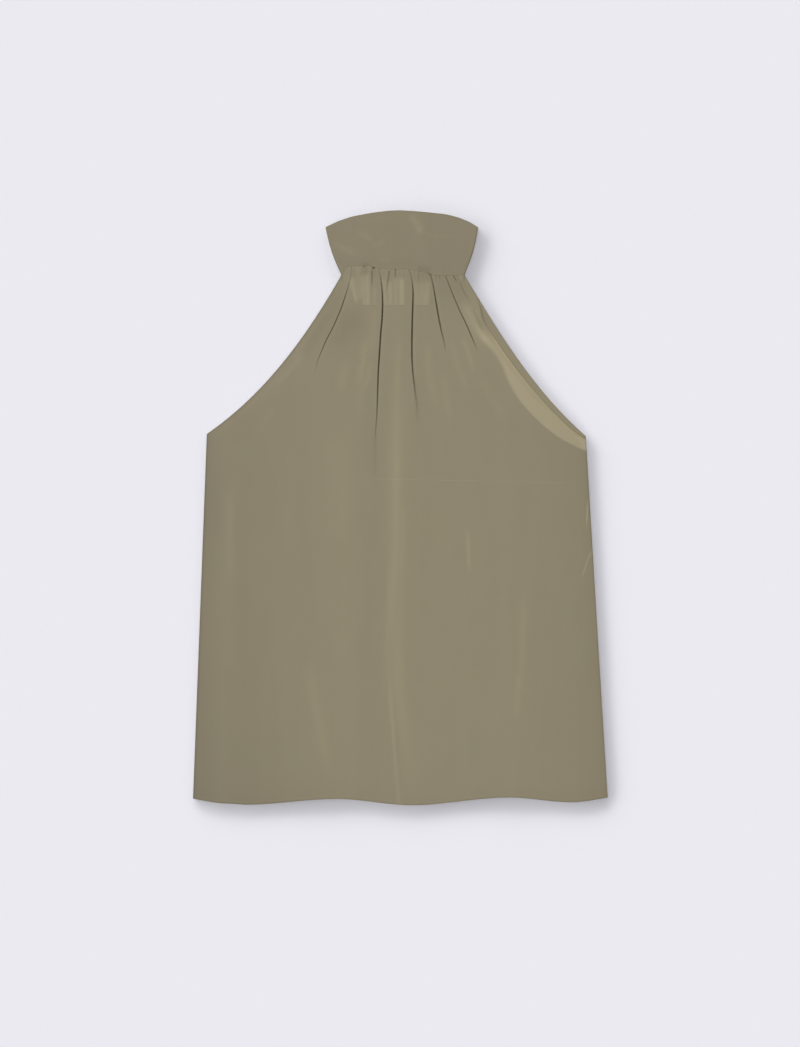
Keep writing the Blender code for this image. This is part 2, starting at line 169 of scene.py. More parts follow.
# Deep creases from the neck seam as (x, drop) points, with a strength at the seam and where they fade
Crease = namedtuple("Crease", "path depth half_width begins_at fade_from")
FRONT_CREASES = [
    Crease([(-58.1, 72), (-58.3, 79.3), (-63.4, 97), (-70.9, 119.5), (-80, 140.4), (-89.3, 158),
            (-98.9, 181.3), (-104, 206)], 1.7, 0.52, 0.24, 0.58),
    Crease([(-25.1, 71.3), (-22.7, 84.1), (-21.1, 98.5), (-20.7, 113), (-21.4, 130.7), (-23.1, 148.4),
            (-24.4, 169.3), (-26, 193.4), (-27.2, 233.5), (-27.9, 251.3), (-29.2, 267.4), (-29.8, 298)],
           4.9, 0.62, 0.14, 0.40),
    Crease([(11.9, 73.7), (14.5, 84.1), (15.9, 98.5), (15.5, 113), (14.8, 132.4), (14.3, 156.5),
            (14.3, 177.4), (15.4, 195), (17.2, 209.4), (19.1, 225.5), (21, 236.8), (21.8, 262)],
           4.8, 0.66, 0.14, 0.36),
    Crease([(36.3, 75.2), (38.9, 85.7), (41.3, 98.5), (43.7, 113), (46.4, 129.1), (49.6, 145.2),
            (52.6, 156.5), (57, 180)], 3.5, 0.60, 0.38, 0.44),
    Crease([(55, 80), (60.3, 93.7), (66.8, 109.8), (73.2, 124.3), (79.6, 137.2), (85.1, 150),
            (95, 174)], 1.9, 0.56, 0.64, 0.72),
]
BACK_CREASES = [
    Crease([(-46, 74), (-52, 100), (-58, 126), (-66, 152), (-76, 178)], 0.60, 1, 0.14, 0.50),
    Crease([(-24, 70), (-27, 112), (-30, 154), (-32, 196), (-34, 236)], 0.65, 1, 0.14, 0.50),
    Crease([(27, 70), (28, 106), (31, 142), (34, 178), (37, 214)], 0.65, 1, 0.14, 0.50),
    Crease([(53, 74), (60, 97), (67, 120), (74, 143), (83, 166)], 0.60, 1, 0.14, 0.50),
]

# How a path is rounded, how a crease grows, ends and lies in a shallow trough, and its painted shade and
# highlights
PATH_REACH = 8.0
CREASE_GROWTH = 46.0
CREASE_START_WIDTH = 0.72
CREASE_END_LOSS = 0.2
TROUGH_SHARE = 0.05
TROUGH_HALF_WIDTH = 3.4
CREASE_SHADE = -0.16
CREASE_SHOULDER_HIGHLIGHT = 0.030
SHOULDER_OFF = 2.0
SHOULDER_HALF_WIDTH = 0.7

# Columns along the creases, which go on below a crease's end and spread there
CREASE_OFFSETS = (-4.5, -2.6, -1.5, -1.05, -0.7, -0.35, 0, 0.35, 0.7, 1.05, 1.5, 2.6, 4.5)
CREASE_SPREAD = 2.2
CREASE_SPREAD_REACH = 150.0
GUIDE_DROPS = np.arange(60.0, LENGTH + 10.0, 1.0)
GUIDE_ROUNDS = 4

# Small gathers at the front's seam, from x to end_x, each begun at the seam or some way below it
Gather = namedtuple("Gather", "x end_x end_drop depth half_width below", defaults=(0,))
FRONT_GATHERS = [
    Gather(-67.6, -68.2, 75, 0.9, 0.7),
    Gather(-62.6, -65, 86, 0.25, 1.2),
    Gather(-53.4, -55, 90, 0.12, 1.5),
    Gather(-47.6, -48.6, 92, 0.12, 1.4),
    Gather(-39, -39.4, 80, 0.45, 1.5),
    Gather(-33, -33.4, 101, 1.80, 0.60, 6),
    Gather(-28.6, -28.8, 82, 0.20, 0.9),
    Gather(-17.5, -17.8, 84, 0.12, 1.2),
    Gather(-12.2, -16.4, 104, 1.80, 0.60, 3),
    Gather(-9, -9.2, 84, 0.12, 1),
    Gather(-5.3, -5.3, 86, 1.50, 0.58),
    Gather(0.4, 0.2, 86, 0.16, 1.2),
    Gather(5.8, 6, 88, 0.16, 1.2),
    Gather(18.4, 19, 88, 0.25, 1.1),
    Gather(23.2, 23.2, 91, 0.70, 0.7),
    Gather(28.6, 28.8, 86, 0.16, 1.1),
    Gather(43.3, 43.7, 86.5, 0.65, 0.65),
    Gather(47.6, 48.1, 85.5, 0.65, 0.65),
    Gather(51, 52.4, 90, 0.15, 1),
    Gather(59, 60.4, 86, 0.30, 0.9),
    Gather(64.2, 69.8, 89, 1.20, 0.60),
    Gather(69.2, 72.6, 88, 0.35, 0.9),
    Gather(69, 83.5, 112, 0.30, 0.70, 9),
]
GATHER_START = 2.0
GATHER_FADES_FROM = 0.35

# Even row of small gathers at the back's seam, whose pitch wavers
BACK_GATHER_PITCH = 8.5
GATHER_WAVER = 1.1
GATHER_WAVER_LENGTH = 13.0
BACK_GATHER_DEPTH = 0.32
BACK_GATHER_REACH = 24.0

# Pits where gathers meet the seam
Pit = namedtuple("Pit", "x drop radius depth")
FRONT_PITS = [
    Pit(-42.9, 67.9, 1.1, 1.2),
    Pit(-31.5, 69.4, 1.6, 1.8),
    Pit(34.9, 75.9, 1.2, 1),
    Pit(36.4, 77.6, 1.2, 0.7),
]

# Long soft folds, with (x, drop) points
Fold = namedtuple("Fold", "path height half_width")
FRONT_FOLDS = [
    Fold([(-3.6, 205), (0, 324), (-2.4, 396), (-4.8, 444), (-11.4, 510), (-12, 540),
          (-8.4, 588), (-4.8, 700)], 0.40, 4.6),
    Fold([(-118, 400), (-114, 490), (-107, 580), (-94, 670), (-84, 730)], 0.9, 26),
    Fold([(141, 400), (143, 490), (144, 580), (138, 670), (130, 730)], 0.9, 26),
    Fold([(-196, 300), (-202, 365), (-204, 430), (-205, 560)], 0.4, 16),
]
FOLD_PATH_REACH = 20.0
FOLD_GROWN_AT = 0.35

# Slight unevenness as waves across or down the cloth, each bent by another and shifted by a seed
Ripple = namedtuple("Ripple", "runs height length bend bend_length bend_seed seed phase")
RIPPLES = [
    Ripple("across", 1.0, 19.0, 0.6, 83.0, 1.0, 1.7, 0.0),
    Ripple("across", 0.7, 11.3, -0.8, 57.0, 2.0, 0.0, 0.4),
    Ripple("down", 0.9, 47.0, 0.5, 61.0, 0.0, 1.0, 0.0),
    Ripple("across", 0.35, 5.9, 1.1, 39.0, 0.0, 3.1, 0.0),
]

# How uneven each piece is, with its seed and the range over which it grows uneven
FRONT_SEED = 1.3
FRONT_RIPPLE = 0.11
FRONT_RIPPLE_RANGE = (10.0, 60.0)
BACK_SEED = 2.1
BACK_RIPPLE = 0.05
BACK_RIPPLE_RANGE = (100.0, 200.0)
BACK_RIPPLE_LEVEL = 2.6
COLLAR_SEED = 4.2
COLLAR_RIPPLE = 0.05
COLLAR_RIPPLE_RANGE = (0.1, 0.3)
COLLAR_RIPPLE_SCALE = (1.3, 1.6)

# Front's height in parts: the back it rests on, its own wall and puff, and both panels' rolled edges
BACK_REST = 1.6
BACK_CREASE_LIFT = 0.7
BACK_CREASE_RANGE = (190.0, 260.0)
FRONT_WALL = 1.5
BODY_PUFF = 1.5
NECK_PUFF = 1.0
NECK_PUFF_RANGE = (150, 330)
EDGE_REACH = 9.0
BACK_EDGE_REACH = 3.0
SEAM_RISE_REACH = 16.0
SEAM_TUCKS = ((0.5, 0.27), (1.6, 0.32))
EDGE_ROLL = 0.8
EDGE_ROLL_REACH = 2.4
RIGHT_ROLL_SHARE = 0.25
RIGHT_ROLL_RANGE = (0.94, 1.02)
BACK_EDGE_ROLL = 1.05
BACK_ROLL_RANGE = (0.9, 1.02)

# The front rolls down at its left armhole, and at its right one lies open on the back, whose edge curls up
LEFT_SINK = 1.5
RIGHT_SINKS = [(84, 2), (108, 0.5), (120, 0.45), (145, 1.9), (222, 1.9), (252, 1.1)]
SINK_REACH = 11.0
SINK_CURVE = 1.5
SINK_RANGE = (0.02, 0.12, 0.90, 1.02)
GAPE_HEIGHT = 0.8
GAPE_WIDTH = 26.0
GAPE_CURVE = 1.3
GAPE_RISE = (112, 190)
GAPE_FALL = (222, 268)
CURL_RISE = (84, 118)
CURL_FALL = (248, 274)
BACK_CURL = 2.2
BACK_CURL_WIDTH = 20.0

# Painted light on the back's inner face where it shows beyond the front's right edge, and painted shade on
# its rim
STRIP_PAINTED_LIGHT = 0.025
STRIP_WIDTH = 20.0
STRIP_RIM_PAINTED_SHADE = -0.085

# Places of the columns nearest to a panel's side, as distances from it
EDGE_STOPS = (0, 0.5, 1.1, 1.8, 2.6, 3.8, 5.4, 7.6)
EDGE_STOPS_SHARE = 0.6

# Rows down a panel, 0 to 1 along the armhole and 1 to 2 along the side seam, and columns between creases
FRONT_ROWS = [*np.linspace(0, 0.055, 20), *np.linspace(0.055, 0.19, 25)[1:], *np.linspace(0.19, 1, 50)[1:],
              *np.linspace(1, 1.975, 52)[1:], 1.982, 1.985, 1.990, 1.996, 2]
FRONT_COLUMNS = [32, 50, 54, 32, 26, 34]
BACK_ROWS = [*np.linspace(0, 0.09, 16), *np.linspace(0.09, 1, 44)[1:], *np.linspace(1, 1.975, 40)[1:],
             1.982, 1.986, 1.993, 2]
BACK_COLUMNS = [24, 24, 22, 14, 24, 30]

# Slit at the centre back, with its turned edges, the columns beside it and its stitches
SLIT_END = 180.0
SLIT_HALF_WIDTH = 0.35
SLIT_TOLERANCE = 0.01
SLIT_TURN = (4.0, 4.8)
SLIT_TURN_END = 183.0
SLIT_COLUMNS = (2.4, 5.0)
SLIT_SPREAD = 5.0
SLIT_SPREAD_END = 420.0
SLIT_STITCH_START = 72.0
SLIT_LINE_POINTS = 80
SLIT_STITCH_BELOW = 2.0
SLIT_STITCH_OFF = 3.4
SLIT_END_HEIGHT = 0.3

# Panel side too far off to matter to the slit's stitches
FAR_SIDE = 400.0

# Painted sheen strokes as (x, drop) points, painted highlight where the satin would catch more light and
# painted shade where less, and wide soft zones of painted highlight and shade
Stroke = namedtuple("Stroke", "path half_width strength")
Zone = namedtuple("Zone", "x drop half_width half_length strength")
STROKE_GROWN_AT = 0.25
STROKE_FADES_FROM = 0.65
FRONT_SHEEN_AND_SHADE_STROKES = [
    # ridge down the middle
    Stroke([(-4, 150), (-4.8, 276), (-4.8, 408), (-7.2, 480), (-6, 528), (-3.6, 576),
            (3.6, 624), (13.2, 680), (16, 740)], 10, 0.050),
    Stroke([(-4, 150), (-4.4, 300), (-5, 420)], 3.4, 0.014),
    Stroke([(-13, 420), (-16.4, 520), (-15, 570)], 1.5, 0.012),
    Stroke([(-14.4, 548), (-11.4, 590), (-7.8, 634), (-3, 691), (4, 790)], 2.2, 0.046),
    Stroke([(6, 340), (3, 400), (1, 450)], 3, 0.014),
    # fan between the creases
    Stroke([(-34, 176), (-38, 200), (-44, 222)], 3, 0.035),
    Stroke([(-42, 150), (-44, 180), (-52, 214)], 4.4, 0.045),
    Stroke([(-62, 176), (-68, 200), (-74, 224)], 5, 0.030),
    Stroke([(-30, 112), (-32, 144), (-36, 180)], 5, 0.028),
    Stroke([(-44, 190), (-48, 224), (-52, 256)], 4, 0.020),
    Stroke([(0, 150), (-2, 190), (-3, 230)], 3, 0.018),
    Stroke([(-4, 100), (-4, 150), (-4.6, 200)], 8, 0.014),
    Stroke([(60, 150), (70, 190), (84, 226)], 4, 0.028),
    Stroke([(74, 150), (80, 166), (90, 200)], 3, 0.042),
    Stroke([(94, 194), (112, 228), (130, 258)], 6, 0.020),
    Stroke([(32, 150), (35, 196), (44, 246)], 5, 0.032),
    Stroke([(52, 190), (56, 232), (62, 262)], 4.4, 0.022),
    # painted shade at the ends of the two longest creases
    Stroke([(-29, 244), (-30, 280), (-30.4, 336)], 3, -0.034),
    Stroke([(17, 196), (20.6, 232), (22.4, 270)], 3, -0.028),
    # lower streaks
    Stroke([(-109.2, 536), (-100, 600), (-84, 690)], 6, 0.032),
    Stroke([(80.4, 380), (82.2, 400), (82.8, 442)], 2.4, 0.060),
    Stroke([(149, 452), (147, 520), (144, 585)], 3.8, 0.032),
    Stroke([(143, 550), (141, 580), (138, 620)], 3.4, 0.032),
    Stroke([(-204, 330), (-204, 390), (-204, 462)], 5.4, 0.034),
    Stroke([(-78, 250), (-72, 330), (-72, 430)], 17, 0.012),
    # left armhole
    Stroke([(-66, 78), (-79, 108), (-91, 132), (-105.6, 156), (-125, 190)], 7, -0.040),
    Stroke([(-112, 168), (-130, 190), (-156, 220)], 3.2, 0.030),
    Stroke([(-150, 232), (-162, 252), (-176, 276)], 5, 0.018),
    # upper end of the right armhole's band
    Stroke([(73, 106), (82, 122), (88, 133), (94, 144), (101, 157), (108, 170)], 6.4, 0.088),
    Stroke([(86, 118), (91.8, 127.2), (96.6, 140.4), (101, 151)], 1.6, -0.070),
    Stroke([(89, 116), (94.2, 127.2), (99.6, 136.8), (104, 145), (108, 153)], 2.4, 0.075),
    # right shoulder's edge
    Stroke([(70, 70), (79.5, 88.8), (84.8, 98.4), (89, 108), (94, 117.6), (104, 136)], 4.5, 0.062),
    Stroke([(70, 80), (73.2, 88.8), (76.8, 98.4), (82.8, 108), (87, 113)], 1, -0.090),
]
FRONT_SHEEN_AND_SHADE_ZONES = [
    # painted shade in wide soft zones, darker towards the lower left, the hem, the left side, the armholes
    # and round the neck
    Zone(-200, 730, 90, 150, -0.028),
    Zone(0, 740, 320, 70, -0.010),
    Zone(-226, 330, 18, 70, -0.026),
    Zone(-236, 378, 8, 10, -0.014),
    Zone(-243, 574, 10, 10, -0.010),
    Zone(-12, 76, 60, 8, -0.022),
    Zone(-46, 75, 12, 8, -0.034),
    Zone(27, 78, 9, 7, -0.026),
    Zone(-60, 134, 15, 17, -0.050),
    Zone(-74, 154, 13, 13, -0.030),
    Zone(58, 88, 34, 24, -0.045),
    Zone(-32, 140, 60, 40, -0.008),
    # painted shade in the pits where gathers meet the seam
    Zone(-31.6, 69.2, 1.7, 1.5, -0.220),
    Zone(-42.7, 68, 1.3, 1.2, -0.130),
    Zone(-49, 67.4, 2.6, 1, -0.060),
    Zone(35.4, 76.4, 1.4, 1.4, -0.130),
]

# Painted shading across the body as (x, tone), darker towards both sides
BODY_PAINTED_SHADING = [(-260, -0.085), (-234, -0.060), (-214, -0.022), (-190, -0.034), (-154, -0.020),
              (-110, -0.006), (-67, 0.008), (-36, -0.012), (0, 0), (60, 0), (150, -0.004),
              (192, -0.020), (216, -0.032), (236, -0.042), (260, -0.060)]
BODY_PAINTED_SHADING_REACH = 14.0
BODY_PAINTED_SHADING_RANGE = (150, 260)

# Painted shade along the left edge, painted light along the right edge and the seam, and the gain of the
# band's painted highlight at the right armhole's edge and rim
LEFT_EDGE_SHADE_WIDTH = 5.0
LEFT_EDGE_PAINTED_SHADE = -0.062
SEAM_PAINTED_LIGHT_WIDTH = 1.5
SEAM_PAINTED_LIGHT = 0.050
RIM_WIDTH = 2.2
RIGHT_RIM_PAINTED_LIGHT = 0.035
BAND_EDGE_GAIN = 0.42
BAND_EDGE_WIDTH = 12.0
BAND_RIM_GAIN = 0.34

# Right armhole's band of painted highlight, between its inner line as (x, drop) and the cloth's edge, crisper
# towards the underarm
BAND_INNER = [(90.4, 140), (98.4, 155), (107.4, 164.8), (114.8, 173.4), (122.6, 186.2), (127.6, 200.2),
              (134.3, 214.2), (143, 228.2), (156.8, 244), (172.8, 259.4), (189, 271.9), (204.8, 281),
              (222.2, 288.6), (234, 291.8)]
BAND_HIGHLIGHT_STRENGTH = 0.155
BAND_RISE = (134, 160)
BAND_SOFT = 3.4
BAND_CRISP = 1.4
BAND_CRISP_RANGE = (170, 250)
BAND_PLACE_LIMIT = 3.0
BAND_LEAST_X = 60.0

# Painted highlight streaks under the collar, where the seam's turned cloth presses through, down to a crisp
# edge with a painted shadow just under it
NECK_HIGHLIGHT_STREAKS = [
    Stroke([(-57.6, 84), (-56.4, 94), (-54, 108)], 3.8, 0.082),
    Stroke([(-50, 69), (-49.4, 86), (-48.4, 104)], 3.2, 0.050),
    Stroke([(-43.6, 80), (-42.6, 98), (-41.6, 119)], 3.6, 0.068),
    Stroke([(-38.6, 78), (-37.4, 119)], 2.2, 0.072),
    Stroke([(-30.6, 96), (-30, 119)], 2.6, 0.036),
    Stroke([(-19, 86), (-17.6, 119)], 2.8, 0.055),
    Stroke([(-12, 88), (-11.6, 104), (-11.6, 119)], 2.8, 0.078),
    Stroke([(-4.8, 84), (-4.4, 119)], 3.4, 0.062),
    Stroke([(2, 84), (2.2, 119)], 3, 0.104),
    Stroke([(19, 88), (20, 119)], 2.8, 0.045),
    Stroke([(26.5, 90), (25.4, 119)], 4, 0.060),
    Stroke([(33.4, 88), (31.6, 112)], 3.4, 0.075),
]
NECK_STREAK_RAMP = (-9.0, 3.6)
PATCH_DROP = 114.2
PATCH_EDGE = 0.9
PATCH_SLANT = (-51, -62)
PATCH_SLANT_RISE = 24.0
PATCH_SHADE = -0.4
PATCH_SHADE_WIDTH = 1.3
PATCH_SHADE_BELOW = 0.8

# Thin painted highlights, from one (x, drop) to another: along faint pressed folds, which also get a bump,
# and glints near the right side
Line = namedtuple("Line", "start end half_width strength fade")
PRESS_HIGHLIGHTS = [
    Line((-86, 315), (-26, 322), 0.9, 0.016, 14),
    Line((-40, 322.2), (98, 325.2), 0.9, 0.044, 14),
    Line((78, 324.8), (221, 328), 0.9, 0.034, 14),
    Line((-216, 284), (-154, 284.6), 0.9, 0.012, 14),
]
GLINTS = [
    Line((225.4, 345), (223.6, 384), 1.6, 0.150, 14),
    Line((231.6, 407), (225.2, 420), 1.6, 0.110, 5),
    Line((227.4, 413), (217.8, 443), 1.6, 0.110, 9),
]
PRESS_LEAST = 0.15
PRESS_RELIEF = 20.0

# Painted sheen and shade as strokes and zones on the collar's front
COLLAR_SHEEN_AND_SHADE_STROKES = [
    Stroke([(-52, 24), (-43, 30), (-32, 38)], 3.4, 0.036),
    Stroke([(-38, 43), (-26, 42), (-16, 33)], 3, 0.024),
    Stroke([(-84, 36), (-70, 45), (-58, 51), (-44, 55)], 4.4, 0.032),
    Stroke([(10, 4), (19, 14), (28, 28)], 5.2, 0.052),
    Stroke([(24, 25), (34, 30), (50, 32), (70, 32)], 2, 0.024),
    Stroke([(-28, 60), (-18, 60.4), (-8, 60.4)], 2, 0.030),
    Stroke([(18, 70), (29, 71.4), (40, 75)], 3, -0.070),
    Stroke([(-49, 65), (-42, 64.6), (-33, 66.4)], 1.7, -0.060),
    Stroke([(80.4, 63), (79.4, 69), (77.8, 78)], 1, -0.450),
    Stroke([(-73.4, 58), (-72.4, 64), (-70.4, 74)], 0.9, -0.120),
    Stroke([(62, 67.4), (70, 67.4), (78, 67)], 0.7, 0.014),
]
COLLAR_SHEEN_AND_SHADE_ZONES = [
    Zone(-80, 40, 50, 60, -0.004),
    Zone(-66, 66, 16, 10, -0.016),
    Zone(-30, 11, 24, 5, 0.012),
    Zone(23.4, 25, 3.8, 3.4, 0.060),
    Zone(80, 40, 70, 60, -0.008),
]

# Surface unevenness as noise, stretched by its scale, and the ribs of the weave as (turn, scale)
Noise = namedtuple("Noise", "scale detail strength")
PATCH_NOISE = Noise((420, 60, 60), 2.0, 0.9)
PRESS_NOISE = Noise((30, 8, 8), 2.0, 2.6)
STREAK_NOISE = Noise((70, 9, 40), 3.0, 0.022)
MOTTLE_NOISE = Noise((26, 26, 26), 4.0, 0.018)
HUE_NOISE = Noise((38, 22, 38), 2.0, 1.0)
HUE_RANGE = (-0.18, 0.18)
ROUGHNESS_NOISE = Noise((60, 20, 60), 3.0, 0.12)
CLOTH_ROUGHNESS = 0.52
WEAVE_RIBS = ((0.30, 115.0), (-1.15, 130.0))
WEAVE = {"Distortion": 2.4, "Detail": 2.0, "Detail Scale": 1.6}
WEAVE_RELIEF = 0.35
CLOTH_SHEEN = {"Specular IOR Level": 0.30, "Sheen Weight": 0.06, "Sheen Roughness": 0.45}
THREAD_TWIST = 700.0
THREAD_UNEVEN = (0.14, 0.93)
TONE_GAMMA = 2.2

# Colours of the cloth, thread and floor, linear
OLIVE = (0.2472, 0.2113, 0.1352)
OLIVE_GREEN = (0.2440, 0.2123, 0.1332)
OLIVE_COLLAR = (0.2277, 0.1958, 0.1250)
THREAD = (0.290, 0.252, 0.172)
FLOOR = (0.8308, 0.8228, 0.8796)

# Floor's half size and how far it lies below the garment, in metres
FLOOR_HALF = 9.0
FLOOR_GAP = 0.0002

# Camera, with the picture's height at the garment and the garment's own in metres, and where it aims
PICTURE_HEIGHT = 1.2564
CAMERA_LENS = 100.0
SENSOR_HEIGHT = 36.0
AIM_Y = -0.0189
GARMENT_HEIGHT = 0.004

# Light as shares of what the floor or the garment gets, with each lamp's direction and width in degrees
SKY = 0.16
Lamp = namedtuple("Lamp", "name share azimuth elevation angle lights")
LAMPS = [
    Lamp("overhead_over_floor", 0.302, 0, 90, 20, "floor"),
    Lamp("dome_over_cloth", 0.20, 0, 90, 150, "garment"),
    Lamp("overhead_over_cloth", 0.40, 0, 90, 70, "garment"),
    Lamp("raised_over_cloth", 0.24, 135, 50, 50, "garment"),
]

# Low lamps over the floor, whose soft shadows fall to the lower right
LAMPS += [
    Lamp("low_over_floor_%d" % azimuth, share, azimuth, elevation, angle, "floor")
    for azimuth, share, elevation, angle in (
        (8, 0.008, 17, 20),
        (38, 0.011, 13, 16),
        (60.5, 0.022, 11, 14),
        (83, 0.047, 9.6, 12),
        (105.5, 0.088, 8.8, 11),
        (128, 0.118, 8.5, 11),
        (150.5, 0.110, 8.8, 11),
        (173, 0.070, 9.6, 12),
        (195.5, 0.034, 11, 14),
        (218, 0.018, 13, 16),
        (248, 0.012, 17, 20),
    )
]


def ease(start, end, value):
    """0 up to start, 1 from end on, and level at both."""
    share = np.clip((value - start) / (end - start), 0.0, 1.0)
    return share * share * (3.0 - 2.0 * share)


def smooth_curve(points, reach, straight_on):
    """Function through (place, value) points with rounded corners, going straight on or staying level."""
    places, values = zip(*points)
    step = 0.5
    fine = np.arange(places[0] - 3 * reach, places[-1] + 3 * reach, step)
    line = np.interp(fine, places, values)
    if straight_on:
        first = (values[1] - values[0]) / (places[1] - places[0])
        last = (values[-1] - values[-2]) / (places[-1] - places[-2])
        line += first * np.minimum(fine - places[0], 0.0) + last * np.maximum(fine - places[-1], 0.0)
    window = np.hanning(2 * int(reach / step) + 3)
    line = np.convolve(line, window / window.sum(), mode="valid")
    trimmed = (len(fine) - len(line)) // 2
    fine = fine[trimmed:trimmed + len(line)]
    return lambda place: np.interp(place, fine, line)


body_painted_shading = smooth_curve(BODY_PAINTED_SHADING, BODY_PAINTED_SHADING_REACH, False)
front_seam = smooth_curve(FRONT_SEAM, FRONT_SEAM_REACH, False)
top_edge = smooth_curve([(TOP_HALF * share, drop) for share, drop in TOP_EDGE], TOP_EDGE_REACH, True)


def path_x(path, reach=PATH_REACH):
    """A path's x as a function of drop."""
    return smooth_curve([(drop, x) for x, drop in path], reach, True)


def eased_through(stops, value):
    """Value through (place, value) stops, level at each stop."""
    total = np.full(np.shape(value), stops[0][1], float)
    for (place, low), (next_place, high) in zip(stops, stops[1:]):
        total += (high - low) * ease(place, next_place, value)
    return total


def bezier(points, share):
    """Point on the Bezier curve of any number of control points."""
    points = [np.array(point, float) for point in points]
    while len(points) > 1:
        points = [a + (b - a) * share for a, b in zip(points, points[1:])]
    return points[0]


def side_point(side, row):
    """Point on a panel's side."""
    if row > 1.0:
        underarm = np.array(side.armhole[-1])
        return underarm + (np.array(side.hem) - underarm) * (row - 1.0)
    point = bezier(side.armhole, row)
    if side is FRONT_SIDES["right"]:
        cover = 1.0 - ease(*COVER_RANGE, point[1])
        point[0] += cover * (side_x_at(BACK_SIDES["right"], point[1]) - COVER_GAP - point[0])
    return point


SIDE_POINTS = {}


def side_x_at(side, drop):
    """A side's x at a given drop."""
    key = id(side)
    if key not in SIDE_POINTS:
        SIDE_POINTS[key] = np.array([side_point(side, row) for row in np.linspace(0.0, 2.0, SIDE_SAMPLES)])
    points = SIDE_POINTS[key]
    return np.interp(drop, points[:, 1], points[:, 0])


def both_sides(sides, drop):
    """x of a panel's left and right side at a given drop."""
    return side_x_at(sides["left"], drop), side_x_at(sides["right"], drop)


def back_seam(x):
    """Drop of the neck seam at the back."""
    across = (x - SEAM_CENTRE) / SEAM_HALF
    return SEAM_DROP - SEAM_RISE * np.maximum(0.0, 1.0 - across * across)


def row_drop(seam, left, right, x):
    """Drop at x in the row that runs from left to right, with the seam's curve and the hem's waves."""
    drop = np.interp(x, (left[0], right[0]), (left[1], right[1]))
    arch = (SEAM_GAP - SEAM_DROP + seam(x)) * (1.0 - ease(SEAM_DROP, SEAM_ARCH_END, drop))
    corners = np.array([FRONT_SIDES[name].hem[0] for name in ("left", "right")])
    wave = eased_through(HEM_WAVES, x) - np.interp(x, corners, eased_through(HEM_WAVES, corners))
    return drop + arch + wave * ease(*HEM_WAVE_RANGE, drop)


def crease_guide(sides, crease):
    """A crease's x at a drop, kept at its share of the panel's width from its end down."""
    along = path_x(crease.path)
    end = crease.path[-1][1]
    left, right = both_sides(sides, end)
    share = (along(end) - left) / (right - left)
    left, right = both_sides(sides, GUIDE_DROPS)
    places = np.where(GUIDE_DROPS <= end, along(GUIDE_DROPS), left + share * (right - left))
    return lambda drop: np.interp(drop, GUIDE_DROPS, places)


def crease_spread(crease, drop):
    """How much wider the columns at a crease stand below its end."""
    end = crease.path[-1][1]
    return 1.0 + (CREASE_SPREAD - 1.0) * ease(end, end + CREASE_SPREAD_REACH, drop)


def edge_places(edge, inner):
    """Places close to a panel's side, from the side inwards."""
    scale = min(1.0, EDGE_STOPS_SHARE * abs(inner - edge) / EDGE_STOPS[-1])
    return edge + np.sign(inner - edge) * scale * np.array(EDGE_STOPS)


def panel_grid(sides, seam, creases, rows, counts, slit):
    """x and drop of each point of a panel, a row at a time, and each row's two sides."""
    guides = [(crease_guide(sides, crease), crease) for crease in creases]
    grid_x, grid_drop, lefts, rights = [], [], [], []
    for row in rows:
        left, right = side_point(sides["left"], row), side_point(sides["right"], row)
        stops = []
        for guide, crease in guides:
            x = guide(left[1])
            for _ in range(GUIDE_ROUNDS):
                drop = row_drop(seam, left, right, x)
                x = guide(drop)
            stops.append(x + np.array(CREASE_OFFSETS) * crease_spread(crease, drop))
        if slit:
            spread = SLIT_SPREAD * ease(SLIT_END, SLIT_SPREAD_END, row_drop(seam, left, right, SEAM_CENTRE))
            half = np.array([SLIT_HALF_WIDTH, *SLIT_COLUMNS]) + spread * np.array([1, 1, 2])
            stops.append(SEAM_CENTRE + np.concatenate([-half[::-1], half]))
            stops.sort(key=lambda places: places[0])
        places = [edge_places(left[0], stops[0][0])]
        stops.append(edge_places(right[0], stops[-1][-1])[::-1])
        for stop, count in zip(stops, counts):
            places.append(np.linspace(places[-1][-1], stop[0], count + 1)[1:-1])
            places.append(stop)
        x = np.concatenate(places)
        grid_x.append(x)
        grid_drop.append(row_drop(seam, left, right, x))
        lefts.append(left[0])
        rights.append(right[0])
    return np.array(grid_x), np.array(grid_drop), np.array(lefts)[:, None], np.array(rights)[:, None]


def crease_groove(crease, x, drop):
    """A crease's strength along its length, its groove across, and each point's distance off its middle."""
    start, end = crease.path[0][1], crease.path[-1][1]
    grown = ease(0.0, CREASE_GROWTH, drop - start)
    fading = ease(crease.fade_from, 1.0, (drop - start) / (end - start))
    fade = (crease.begins_at + (1.0 - crease.begins_at) * grown) * (1.0 - fading)
    width = crease.half_width * (CREASE_START_WIDTH + (1.0 - CREASE_START_WIDTH) * grown)
    off = np.abs(x - path_x(crease.path)(drop))
    return fade, np.exp(-(off / (width * (1.0 - CREASE_END_LOSS * fading))) ** 3), off


def crease_dip(crease, x, drop):
    """How deep a crease goes at each point, with a narrow groove in a wide shallow trough."""
    fade, groove, off = crease_groove(crease, x, drop)
    return crease.depth * (groove + TROUGH_SHARE * np.exp(-(off / TROUGH_HALF_WIDTH) ** 2)) * fade


def crease_painted_light(crease, x, drop):
    """Painted shade in a crease's bottom and a little painted highlight on both shoulders."""
    fade, groove, off = crease_groove(crease, x, drop)
    shoulder = np.exp(-((off - SHOULDER_OFF) / SHOULDER_HALF_WIDTH) ** 2)
    return fade * (CREASE_SHADE * groove + CREASE_SHOULDER_HIGHLIGHT * shoulder)


